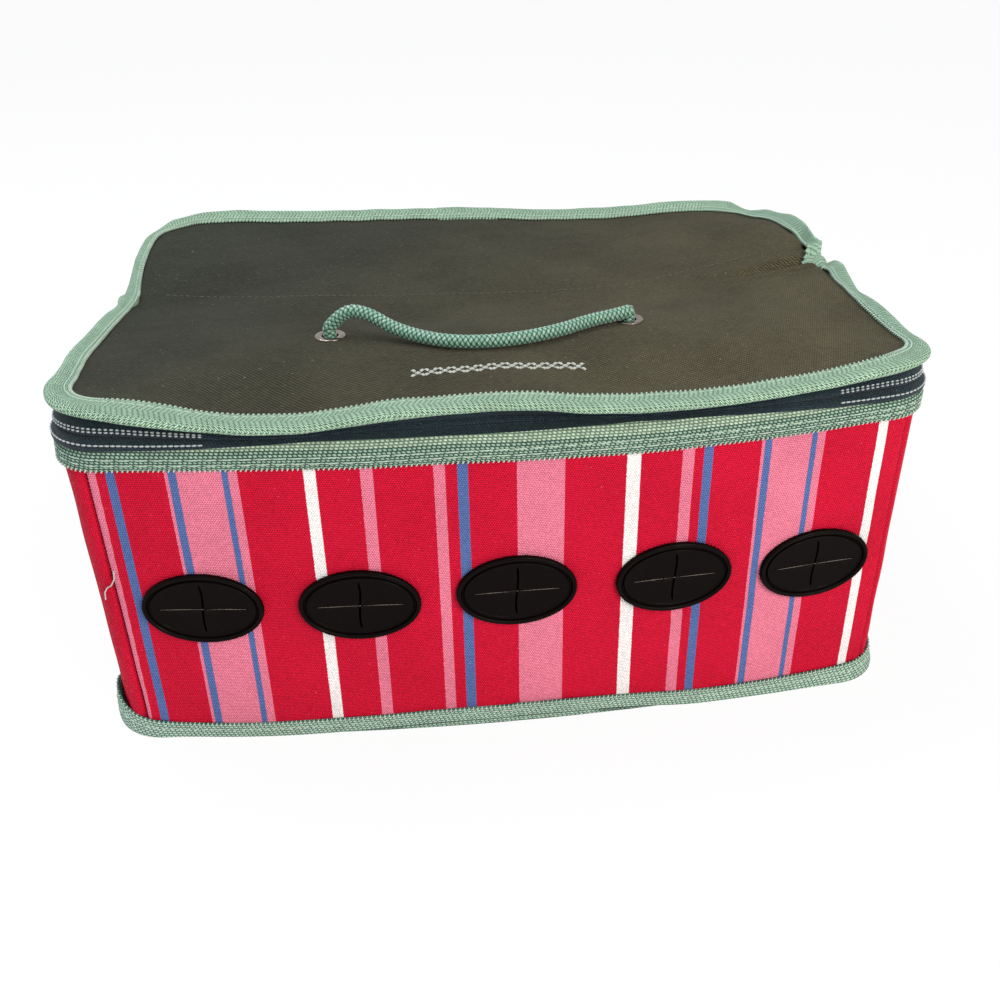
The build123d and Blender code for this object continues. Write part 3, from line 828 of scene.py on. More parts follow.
@dataclass(frozen=True)
class Leaning(Woven):
    """Webbing whose floats lean.

    Attributes:
        half: Distance across after which the lean turns round, as in a herringbone.
        lean: How far a float moves along for each step across.
        upright: Whether the floats run across the webbing.
        crest: Where across it a paler band starts and ends, if it has one.
        crest_edge: How far the band's edges are blurred.
        crest_thread: Colour of a thread in the band.
        crest_gap: Colour between the threads there.
    """

    half: float = 5.4 * MM
    lean: float = 1.5
    upright: bool = True
    crest: tuple[float, float] = (0.0, 0.0)
    crest_edge: float = 0.8 * MM
    crest_thread: Colour = ink("C6D8C0")
    crest_gap: Colour = ink("5F7F6D")

    def threads(self, graph: Graph, place: Socket, chance: Socket) -> tuple[object, object]:
        """Lighten the webbing between the two places across it that crest gives."""
        if not self.crest[1]:
            return self.colour, self.gap
        _, y, _ = graph.split(place)
        after, before = (graph.rise(y, edge, edge + self.crest_edge) for edge in self.crest)
        lit = graph.math("MULTIPLY", after, graph.math("SUBTRACT", 1.0, before))
        return graph.mix(lit, self.colour, self.crest_thread), graph.mix(lit, self.gap, self.crest_gap)

    def spot(self, graph: Graph, place: Socket) -> Socket:
        """Shear the weave one way and the other by turns."""
        x, y, _ = graph.split(place)
        leant = graph.math("MULTIPLY_ADD", graph.math("PINGPONG", y, self.half), self.lean, x)
        return graph.join(y, leant, 0.0) if self.upright else graph.join(leant, y, 0.0)


@dataclass(frozen=True)
class PaintedSheenCloth(Woven):
    """Cloth whose colour goes over to a warmer, brighter one towards its front right corner: painted light,
    the sheen of the warm front lamp painted into the colour.
    """

    # The colour of the painted sheen at the front right corner
    painted_sheen: Colour = (0.1, 0.1, 0.1, 1.0)

    def threads(self, graph: Graph, place: Socket, chance: Socket) -> tuple[object, object]:
        """Mix in the painted sheen colour along u - 0.6 v."""
        x, y, _ = graph.split(place)
        share = graph.rise(graph.math("MULTIPLY_ADD", y, -0.6, x), -0.2, 0.2)
        return graph.mix(share, self.colour, self.painted_sheen), self.gap


@dataclass(frozen=True)
class Stripe:
    """One printed stripe: where it starts in a repeat of the cloth, its width and colour."""

    start: float
    width: float
    colour: Colour


PINK, BLUE, WHITE = ink("FA8AA4"), ink("5F7CBA"), ink("FFFDFB")

# The stripes of one repeat of the canvas, in millimetres from the thin pink one
REPEAT = 227.2
STRIPES = [
    Stripe(0.0, 1.3, PINK),
    Stripe(1.3, 3.1, BLUE),
    Stripe(4.4, 16.8, PINK),
    Stripe(21.2, 2.4, BLUE),
    Stripe(23.6, 3.4, PINK),
    Stripe(51.3, 4.5, WHITE),
    Stripe(72.2, 4.7, PINK),
    Stripe(99.4, 4.3, PINK),
    Stripe(108.2, 4.1, BLUE),
    Stripe(130.7, 18.3, PINK),
    Stripe(172.9, 5.5, WHITE),
    Stripe(194.9, 4.8, PINK),
    Stripe(203.5, 3.8, BLUE),
]


@dataclass(frozen=True)
class StripedCanvas(Woven):
    """The printed canvas, whose stripes follow u and repeat.

    Attributes:
        rough: How far a stripe's edge steps from thread to thread.
        blur: Half of the width over which a stripe's edge blurs, in millimetres.
    """

    rough: float = 0.14 * MM
    blur: float = 0.15

    def threads(self, graph: Graph, place: Socket, chance: Socket) -> tuple[object, object]:
        """Paint each stripe over the ground where u lies in it, with edges as rough as the weave.

        Args:
            graph: The material's graph.
            place: The place on the cloth.
            chance: The thread's random number.

        Returns:
            The colours of a thread and of the gap beside it.
        """
        x, _, _ = graph.split(place)
        turns = graph.math("DIVIDE", graph.vary(chance, self.rough, x), REPEAT * MM)
        within = graph.math("MULTIPLY", graph.math("FRACT", turns), REPEAT)
        colour = self.colour
        for stripe in STRIPES:
            half = stripe.width / 2
            off = graph.math("ABSOLUTE", graph.math("SUBTRACT", within, stripe.start + half))
            mask = graph.rise(off, half - self.blur, half + self.blur, 1.0, 0.0)
            colour = graph.mix(mask, colour, stripe.colour)
        grey = graph.add("RGBToBW")
        graph.feed(grey.inputs[0], colour)
        return colour, graph.vector("SCALE", colour, graph.rise(grey.outputs[0], 0.25, 0.9, 0.42, 0.86))


@dataclass(frozen=True)
class Plain(Finish):
    """Moulded plastic, rubber, board, wood or metal, patterned on object coordinates.

    Attributes:
        stretch: How much longer than wide the pattern's grains are along x.
        grain: Size of the pattern's grains, in metres.
        second: The colour that the grains go towards.
        relief: Height of the grains.
        metallic: 1 for metal.
        wear: How much the roughness differs.
        gloss: How strongly it reflects.
    """

    stretch: float = 1.0
    grain: float = 1.0 * MM
    second: Colour = (0.5, 0.5, 0.5, 1.0)
    relief: float = 0.02 * MM
    metallic: float = 0.0
    wear: float = 0.15
    gloss: float = 0.4

    def dress(self, graph: Graph, shader: bpy.types.Node) -> None:
        """Mix the two colours by a stretched noise, and roughen by a larger one.

        Args:
            graph: The material's graph.
            shader: Its main shader.
        """
        place = self.place(graph, "Object")
        long = graph.vector("MULTIPLY", place, (1 / self.stretch, 1.0, 1.0))
        grains = graph.noise(long, 1 / self.grain, 5.0)
        large = graph.noise(place, 0.08 / self.grain, 2.0)
        colour = graph.mix(graph.rise(grains, 0.3, 0.7), self.colour, self.second)
        low, high = max(self.roughness - self.wear, 0.05), min(self.roughness + self.wear, 1.0)
        graph.fill(shader, Base_Color=colour, Roughness=graph.rise(large, 0.35, 0.65, low, high))
        graph.fill(shader, Normal=graph.bump(grains, self.relief), Metallic=self.metallic)
        graph.fill(shader, Specular_IOR_Level=self.gloss)


@dataclass(frozen=True)
class Braided(Finish):
    """Rope whose strands cross in diamonds. Its u runs along the rope and v round it.

    Attributes:
        shade: Colour between the strands.
        painted_highlight: Colour of the ticks on every other row, painted highlights on the strands'
            crests.
        diamond: Length of a diamond along the rope, and around its width round it.
    """

    shade: Colour = (0.0, 0.0, 0.0, 1.0)
    painted_highlight: Colour = (0.5, 0.5, 0.5, 1.0)
    diamond: float = 2.1 * MM
    around: float = 1.73 * MM

    def dress(self, graph: Graph, shader: bpy.types.Node) -> None:
        """Darken the lines between diamonds, and lay a pale tick along each by turns as a painted
        highlight.

        Args:
            graph: The material's graph.
            shader: Its main shader.
        """
        x, y, _ = graph.split(self.place(graph))
        a = graph.math("DIVIDE", x, self.diamond)
        b = graph.math("DIVIDE", y, 2 * self.around)
        swings, arches, cells = [], [], []
        for value in (graph.math("ADD", a, b), graph.math("SUBTRACT", a, b)):
            swings.append(graph.math("ABSOLUTE", graph.swing(value)))
            arches.append(graph.arch(swings[-1]))
            cells.append(graph.math("FLOOR", value))
        height = graph.math("MULTIPLY", *arches)
        half_turn = graph.math("FRACT", graph.math("MULTIPLY", graph.math("ADD", *cells), 0.5))
        turn = graph.math("MULTIPLY", half_turn, 2.0)
        beside = graph.math("MULTIPLY_ADD", graph.math("SUBTRACT", swings[1], swings[0]), turn, swings[0])
        fibres = graph.noise(graph.join(graph.math("MULTIPLY", x, 0.25), y, 0.0), 9000.0, 2.0)
        body = graph.mix(graph.rise(height, 0.0, 0.5), self.shade, self.colour)
        # Painted highlight: a pale tick along the crest of each diamond
        highlight_share = graph.rise(beside, 0.15, 0.6, 1.0, 0.0)
        for share in (
            graph.rise(fibres, 0.3, 0.8),
            graph.rise(height, 0.1, 0.5),
            graph.rise(graph.chance(*cells), 0.0, 1.0, 0.55, 1.0),
        ):
            highlight_share = graph.math("MULTIPLY", highlight_share, share)
        colour = graph.mix(highlight_share, body, self.painted_highlight)
        graph.fill(shader, Base_Color=colour, Normal=graph.bump(fibres, 0.05 * MM, 0.6), Sheen_Weight=0.2)


CANVAS = StripedCanvas(
    "striped canvas", ink("E0183B"), 0.7, along=0.95 * MM, across=0.82 * MM, shift=0.5,
    relief=0.3 * MM, fullness=0.5, uneven=0.18, wander=0.15 * MM, tone=0.12, tone_size=45 * MM,
    lint=ink("F7C9D4"), lint_share=0.2, gloss=0.06,
)
SAGE = Leaning(
    "sage webbing", ink("BDDDC0"), 0.75, gap=ink("37604F"), along=1.7 * MM, across=0.95 * MM,
    shift=0.5, relief=0.42 * MM, fullness=0.3, uneven=0.25, wander=0.35 * MM, tone=0.12,
    tone_size=25 * MM, lint=ink("DDE9DB"), lint_share=0.3, gloss=0.1,
)
BASE_SAGE = replace(
    SAGE, name="base webbing", colour=ink("B6D4C0"), gap=ink("3A5C54"), along=1.9 * MM,
    across=1.15 * MM, relief=0.4 * MM, half=40 * MM, lean=0.4, upright=False,
)
RIM_SAGE = replace(
    BASE_SAGE, name="rim webbing", colour=ink("9FBEA8"), gap=ink("1D3A36"), along=1.8 * MM,
    across=1.1 * MM, relief=0.45 * MM, fullness=0.05, uneven=0.3, wander=0.4 * MM, lean=0.5,
    crest=(7.6 * MM, 14 * MM),
)
SAGE_THREAD = Woven(
    "sage thread", ink("CFE3D2"), 0.6, gap=ink("84A792"), along=0.7 * MM, across=0.25 * MM,
    shift=0.35, relief=0.08 * MM, uneven=0.2,
)
# The lid twill goes warmer and brighter towards the front right: painted sheen of the front lamp
TWILL = PaintedSheenCloth(
    "lid twill", ink("3A3E34"), 0.9, gap=ink("1C1B15"), along=1.9 * MM, across=0.66 * MM,
    shift=0.36, relief=0.22 * MM, fullness=0.3, uneven=0.35, wander=0.3 * MM, tone=0.3,
    tone_size=50 * MM, lint=ink("A5A294"), lint_share=0.8, sheen=0.04, gloss=0.05,
    painted_sheen=ink("5E5943"),
)
TWILL_THREAD = replace(
    SAGE_THREAD, name="twill thread", colour=ink("6A685A"), roughness=0.8, gap=ink("33322B"),
    relief=0.05 * MM,
)
LINING = Woven(
    "grey lining", ink("8B8D90"), 0.6, gap=ink("5F6165"), along=0.55 * MM, across=0.5 * MM,
    shift=0.5, relief=0.06 * MM, uneven=0.12, tone=0.12, tone_size=60 * MM,
)
TAPE = Woven(
    "zip tape", ink("21333B"), 0.7, gap=ink("080E12"), along=1.2 * MM, across=0.7 * MM,
    shift=0.34, relief=0.2 * MM, uneven=0.5, tone=0.3, lint=ink("7C93A0"), lint_share=0.6, sheen=0.1,
)
ZIP_THREAD = replace(
    SAGE_THREAD, name="zip stitching", colour=ink("D2D9DA"), gap=ink("5E6A70"), along=0.5 * MM,
    relief=0.05 * MM, uneven=0.3,
)
PALE_THREAD = replace(
    SAGE_THREAD, name="pale stitching", colour=ink("D3D8CE"), roughness=0.55, gap=ink("8D928A"),
    along=0.8 * MM, across=0.2 * MM, relief=0.06 * MM,
)
# The rope's pale ticks are painted highlights on the strands
ROPE = Braided("braided rope", ink("528F76"), 0.5, shade=ink("0E2C24"), painted_highlight=ink("F0FBEA"))
TEETH = Plain("zip teeth", ink("14171C"), 0.35, grain=0.6 * MM, second=ink("1F242B"))
RUBBER = Plain(
    "slot rubber", ink("080403"), 0.38, grain=0.45 * MM, second=ink("0E0807"), relief=0.02 * MM, gloss=0.05
)
# A pale line along each slot's level cut: a painted highlight
CUT_HIGHLIGHT = Plain("cut highlight rubber", ink("8E857C"), 0.5, grain=0.4 * MM, second=ink("4A433D"))
STEEL = Plain(
    "plated steel", ink("8B827A"), 0.25, grain=0.8 * MM, second=ink("655C55"), relief=0.01 * MM,
    metallic=1.0, wear=0.1,
)
WOOD = Plain(
    "rod wood", ink("D2A774"), 0.5, stretch=14.0, grain=1.2 * MM, second=ink("B5824D"), relief=0.05 * MM,
)
BRACKET = Plain("bracket plastic", ink("2C2E31"), 0.4, grain=0.5 * MM, second=ink("34373A"))
RETAINER = Plain("retainer plastic", ink("1F1E1D"), 0.45, grain=0.5 * MM, second=ink("292827"))
BOARD = Plain("fibre board", ink("8C7A60"), 0.9, stretch=3.0, grain=1.5 * MM, second=ink("6E5E49"))


def settle(piece: Piece, body: str, *nodes: str) -> None:
    """Say what a piece rides on and stands for.

    Args:
        piece: The piece.
        body: The body that it rides on, or nothing where it spans two and rides on neither.
        nodes: The CAD nodes that it replaces.
    """
    if body:
        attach(piece, body)
    if nodes:
        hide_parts(*nodes)
    log.info("%s: %d faces", piece.name, len(piece.data.polygons))


@dataclass
class Studio:
    """The camera that stands where the photograph was taken, the floor and the lamps.

    Attributes:
        place: Where the camera stands.
        yaw: How far it looks to the right, in radians, and pitch how far down.
        focal_pixels: Its focal length in pixels of the photograph, frame_pixels wide.
        glow: The share of the floor that the camera sees as plain white light.
        fill: Strength of the light from all round.
    """

    place: tuple[float, float, float] = (-37.2 * MM, -470.4 * MM, 315.6 * MM)
    yaw: float = 0.0964
    pitch: float = 0.5349
    roll: float = -0.0205
    focal_pixels: float = 1036.8
    frame_pixels: float = 1000.0
    sensor: float = 36.0
    reach: float = 6.0
    glow: float = 0.93
    fill: float = 0.5
    target: tuple[float, float, float] = (0.0, 0.0, 0.08)

    def camera(self) -> None:
        """Make the camera: its axes come from its yaw, its pitch down and its roll."""
        level_share = cos(self.pitch)
        ahead = Vector((sin(self.yaw) * level_share, cos(self.yaw) * level_share, -sin(self.pitch)))
        level = ahead.cross(Vector((0, 0, 1))).normalized()
        above = level.cross(ahead)
        right = level * cos(self.roll) + above * sin(self.roll)
        up = above * cos(self.roll) - level * sin(self.roll)
        data = bpy.data.cameras.new("camera")
        data.sensor_width = self.sensor
        data.lens = self.sensor * self.focal_pixels / self.frame_pixels
        data.clip_start = 0.01
        data.clip_end = 20.0
        camera = bpy.data.objects.new("camera", data)
        turn = Matrix((right, up, -ahead)).transposed().to_4x4()
        camera.matrix_world = Matrix.Translation(Vector(self.place)) @ turn
        bpy.context.scene.collection.objects.link(camera)
        bpy.context.scene.camera = camera

    def backdrop(self) -> None:
        """Make a pale floor that keeps the shadow, under a sky that is white to the camera."""
        mesh = bpy.data.meshes.new("floor")
        corners = [(x * self.reach, y * self.reach, 0) for x, y in ((-1, -1), (1, -1), (1, 1), (-1, 1))]
        mesh.from_pydata(corners, [], [(0, 1, 2, 3)])
        floor = bpy.data.objects.new("floor", mesh)
        bpy.context.scene.collection.objects.link(floor)
        made = bpy.data.materials.new("floor")
        made.use_nodes = True
        graph = Graph(made.node_tree)
        cloud = graph.noise(graph.add("TexCoord").outputs["Object"], 3.0)
        colour = graph.mix(cloud, ink("F8F8F8"), ink("FBFBFB"))
        shader = made.node_tree.nodes["Principled BSDF"]
        graph.fill(shader, Base_Color=colour, Roughness=0.9, Specular_IOR_Level=0.0)
        light = graph.fill(graph.add("Emission"), Strength=1.0)
        graph.show(graph.math("MULTIPLY", self.seen(graph), self.glow), shader, light, "Material Output")
        mesh.materials.append(made)

    @staticmethod
    def seen(graph: Graph) -> Socket:
        """1 for a ray from the camera, or one that a gloss or a glass sends on."""
        path = graph.add("LightPath")
        either = graph.math("MAXIMUM", path.outputs["Is Camera Ray"], path.outputs["Is Glossy Ray"])
        return graph.math("MAXIMUM", either, path.outputs["Is Transmission Ray"])

    def sky(self) -> None:
        """Light from all round at a plain level, and a white background."""
        world = bpy.data.worlds.new("sky")
        world.use_nodes = True
        bpy.context.scene.world = world
        graph = Graph(world.node_tree)
        fill = graph.fill(world.node_tree.nodes["Background"], Color=ink("F4F7FF"), Strength=self.fill)
        white = graph.fill(graph.add("Background"), Color=ink("FFFFFF"))
        graph.show(self.seen(graph), fill, white, "World Output")

    def lamp(self, name: str, place: Row, size: float, power: float, tint: Colour) -> None:
        """Make a soft square lamp that looks at the middle of the box.

        Args:
            name: Its name.
            place: Where it stands.
            size: Its width.
            power: Its power in watts.
            tint: The colour of its light.
        """
        data = bpy.data.lights.new(name, "AREA")
        data.size = size
        data.energy = power
        data.color = tint[:3]
        lamp = bpy.data.objects.new(name, data)
        lamp.location = place
        lamp.rotation_euler = (Vector(self.target) - Vector(place)).to_track_quat("-Z", "Y").to_euler()
        bpy.context.scene.collection.objects.link(lamp)

    def build(self) -> None:
        """Set up the camera, the floor and the light."""
        scene = bpy.context.scene
        scene.view_settings.view_transform = "Standard"
        self.camera()
        self.backdrop()
        self.sky()
        self.lamp("window", (-0.6, 0.3, 1.5), 0.9, 16.0, ink("F2F6FF"))
        self.lamp("front", (0.75, -1.25, 0.95), 0.9, 20.0, ink("FFF6EA"))


@dataclass(frozen=True)
class Drape:
    """How the soft lid lies: it sinks between two creases, and its front edge waves.

    The rows of numbers are in millimetres and belong to the places in across, or in
    front_across for the front edge.

    Attributes:
        eyelets: Where the lid is held by its eyelets.
        start: Where the front half starts to sink.
        lower: Where the front crease lies, and lower_fall how far it hangs.
        upper: Where the rear crease lies, and upper_fall how far it hangs.
        back: Where the rear half comes level again, and back_fall how far it hangs there.
        front_fall: The fall of the front edge.
        softness: How softly it bends at start, lower, upper and back.
        right_waves: The middle, width and height of each wave of the right edge.
        puckers: The same of each pucker where that edge is pinched.
        pucker_slant: How far back the puckers lie for each step to the right.
    """

    eyelets: tuple[Row, ...]
    across: Row = (-165, -130, -80, 0, 80, 130, 165)
    start: Row = (-100, -80, -62, -58, -58, -58, -58)
    lower: Row = (27, 9, -9, -23, -15, -8, 5)
    lower_fall: Row = (-12.5, -10.5, -10.5, -10.5, -9.5, -6.5, -2)
    upper: Row = (40, 27, 19, 9.5, 13.5, 29.5, 32)
    upper_fall: Row = (-11.5, -10.5, -9.8, -9.5, -9.3, -6.3, -1.5)
    back: Row = (78, 112, 118, 118, 118, 118, 122)
    back_fall: Row = (-2.5, -0.8, -3.4, -5.2, -9.4, -7, -8.5)
    front_across: Row = (-172, -157, -136, -112, -96, -69, -44, -18, 3, 33, 65, 79, 116, 153, 172)
    front_fall: Row = (1.5, 2.5, 0.4, -3.5, -4.6, -4.4, -1.2, 0.4, 0.6, -3.4, -4.6, -4.8, -2.2, 0.9, 1.8)
    softness: Row = (5.0, 3.2, 3.0, 6.0)
    right_waves: tuple[Row, ...] = ((66, 38, 5.5), (-70, 42, -3.3))
    puckers: tuple[Row, ...] = ((13, 2.6, 2.5), (19, 3.0, -1.2), (4, 2.6, 1.3), (-2, 3.0, -0.8))
    pucker_slant: float = 0.12

    @staticmethod
    def bend(y: Array, start: Array, softness: float) -> Array:
        """Rise from 0 before start to y - start after it: softness log(1 + e^((y - start) / softness))."""
        return softness * np.logaddexp(0, (y - start) / softness)

    def fall(self, x: Array, y: Array) -> Array:
        """Find how far the lid hangs below its flat height.

        From front to back it is level, sinks to the front crease, goes on to the rear
        crease and comes up to the back: a sum of rounded bends, each of which adds the
        change of slope at its line. The front's wave, the right edge's and the
        puckers where that edge is pinched are added.

        Args:
            x: Place across, in metres.
            y: Place from front to back.

        Returns:
            The fall, negative downwards.
        """
        start, lower, upper, back = lines = [
            glide(x, self.across, row) for row in (self.start, self.lower, self.upper, self.back)
        ]
        lower_fall, upper_fall, back_fall = (
            glide(x, self.across, row) for row in (self.lower_fall, self.upper_fall, self.back_fall)
        )
        slopes = [
            0.0,
            lower_fall / (lower - start),
            (upper_fall - lower_fall) / (upper - lower),
            (back_fall - upper_fall) / (back - upper),
            0.0,
        ]
        fall = 0.0
        for line, softness, before, after in zip(lines, self.softness, slopes, slopes[1:]):
            fall = fall + (after - before) * self.bend(y, line, softness * MM)
        crumple = 0.32 * MM * ripple(x, y, 46 * MM, 7) + 0.16 * MM * ripple(x, y, 17 * MM, 11)
        for eyelet_x, eyelet_y in self.eyelets:
            off = np.hypot(x - eyelet_x, y - eyelet_y)
            fall = fall * smooth(off, 6 * MM, 20 * MM)
            crumple = crumple * smooth(off, 8 * MM, 24 * MM)
        fall = fall + glide(x, self.front_across, self.front_fall) * smooth(-y, 82 * MM, 122 * MM)
        fall = fall + bumps(y, self.right_waves) * smooth(x, 130 * MM, 166 * MM)
        slant = y - self.pucker_slant * (x - 160 * MM)
        fall = fall - bumps(slant, self.puckers) * smooth(x, 95 * MM, 155 * MM)
        return fall + crumple


@dataclass
class Webbing:
    """A woven strip that binds an edge: its skin, the loops of its selvedge and its stitches.

    Attributes:
        station: Distance between its cross-sections.
        loop_pitch: Distance between the loops of its selvedge, as stitch_pitch of its stitches.
        loop_slant: How far a loop leans along the edge for each step across it.
        loop_rise: How far it arches, as a share of the thickness.
        outer: 1 where its outer face is on the left of its path, -1 where on the right.
    """

    plan: Plan
    thickness: float = 1.1 * MM
    station: float = 1.3 * MM
    loop_pitch: float = 1.9 * MM
    loop_radius: float = 0.34 * MM
    loop_length: float = 1.7 * MM
    loop_slant: float = 0.55
    loop_lift: float = 0.28 * MM
    loop_rise: float = 0.62
    stitch_pitch: float = 3.4 * MM
    stitch_length: float = 2.7 * MM
    stitch_radius: float = 0.3 * MM
    stitch_rise: float = 0.32 * MM
    outer: int = 1
    finish: Woven = SAGE
    skin: Skin = field(default_factory=Skin)
    thread: Skin = field(default_factory=Skin)

    def strip(self, path: Path, first: float = 0.0, last: float | None = None) -> None:
        """Sweep the strip's cross-section round the outline.

        A point of it is the outline's point, less the path's inset along the normal, at
        the path's height.

        Args:
            path: Takes places (N,) and gives insets and heights, N by K by 2.
            first: Where it starts.
            last: Where it ends, or None for the whole way round.
        """
        closed = last is None
        last = self.plan.length if closed else last
        count = int(round((last - first) / self.station))
        place = np.linspace(first, last, count + 1)
        loop, along = ribbon(path(place), self.thickness)
        points = raised(self.plan.at(place[:, None], loop[..., 0]), loop[..., 1])
        u = place[:, None]
        self.skin.grid(points, u, along, weld_rows=closed, weld_columns=True, capped=not closed)

    def on_path(self, path: Path, place: Array, share: float, lift: float) -> tuple[Array, Array]:
        """Find points on the strip, and the directions out of it.

        Args:
            path: The strip's path.
            place: Places along the outline.
            share: How far along the path, from 0 to 1.
            lift: Distance out of the path's line, towards its outer face.

        Returns:
            The points and the directions, N by 3 each.
        """
        line = path(place)
        at = share * (line.shape[1] - 1)
        low = min(int(at), line.shape[1] - 2)
        spot = line[:, low] * (low + 1 - at) + line[:, low + 1] * (at - low)
        ahead = unit(line[:, low + 1] - line[:, low])
        out = np.stack([ahead[:, 1], -ahead[:, 0]], axis=1)
        spot = spot - out * lift * self.outer
        points = raised(self.plan.at(place, spot[:, 0]), spot[:, 1])
        nearby = spot - out * self.outer * MM
        return points, unit(raised(self.plan.at(place, nearby[:, 0]), nearby[:, 1]) - points)

    def places(self, pitch: float, first: float, last: float | None) -> Array:
        """Find even places about a pitch apart, the whole way round where last is None."""
        last = self.plan.length if last is None else last
        return np.linspace(first, last, int(round((last - first) / pitch)) + 1)

    def stitches(self, path: Path, share: float, first: float = 0.0, last: float | None = None) -> None:
        """Sew a row of stitches along the strip.

        Args:
            path: The strip's path.
            share: How far along the path the row lies, from 0 to 1.
            first: Where it starts.
            last: Where it ends, or None for the whole way round.
        """
        place = self.places(self.stitch_pitch, first, last)
        points, out = self.on_path(path, place, share, self.thickness / 2)
        middles, axes = frames_along(points, out[:-1])
        self.thread.stamp(stitch(self.stitch_length, self.stitch_radius, self.stitch_rise), middles, axes)

    def selvedge(self, path: Path, share: float) -> None:
        """Lay the loops of the weft along an edge of the strip, at share 0 or 1 of its path."""
        points, out = self.on_path(path, self.places(self.loop_pitch, 0.0, None), share, self.loop_lift)
        middles, axes = frames_along(points, out[:-1])
        slant = unit(axes[:, 1] + self.loop_slant * axes[:, 0])
        axes = np.stack([slant, np.cross(axes[:, 2], slant), axes[:, 2]], axis=1)
        loop = stitch(self.loop_length, self.loop_radius, self.thickness * self.loop_rise)
        self.thread.stamp(loop, middles, axes)

    def bind(self, path: Path, edges: Row, rows: Row) -> None:
        """Carry the strip all the way round, with its selvedges and rows of stitches.

        Args:
            path: The strip's path.
            edges: The shares of it where loops show.
            rows: The shares of it where stitches run.
        """
        self.strip(path)
        for share in edges:
            self.selvedge(path, share)
        for share in rows:
            self.stitches(path, share)

    def made(self, name: str, body: str, *nodes: str) -> tuple[Piece, Piece]:
        """Make the strip and its thread, the strip in place of CAD nodes, both on a body."""
        skin, thread = self.skin.make(name, self.finish), self.thread.make(f"{name}_thread", SAGE_THREAD)
        settle(skin, body, *nodes)
        settle(thread, body)
        return skin, thread


def arc_path(points: list[Row], steps: int) -> Array:
    """Round a line of corners: a quadratic B-spline through the middles of its runs.

    Args:
        points: The corners in millimetres, with the first and last ones kept.
        steps: How many points each bend gets.

    Returns:
        The line in metres, K by 2.
    """
    corners = np.array(points) * MM
    middles = (corners[1:-2] + corners[2:-1]) / 2
    starts, ends = np.concatenate([corners[:1], middles]), np.concatenate([middles, corners[-1:]])
    t = np.linspace(0, 1, steps, endpoint=False)[None, :, None]
    bends = (1 - t) ** 2 * starts[:, None] + 2 * t * (1 - t) * corners[1:-1, None] + t**2 * ends[:, None]
    return np.concatenate([bends.reshape(-1, 2), corners[-1:]])


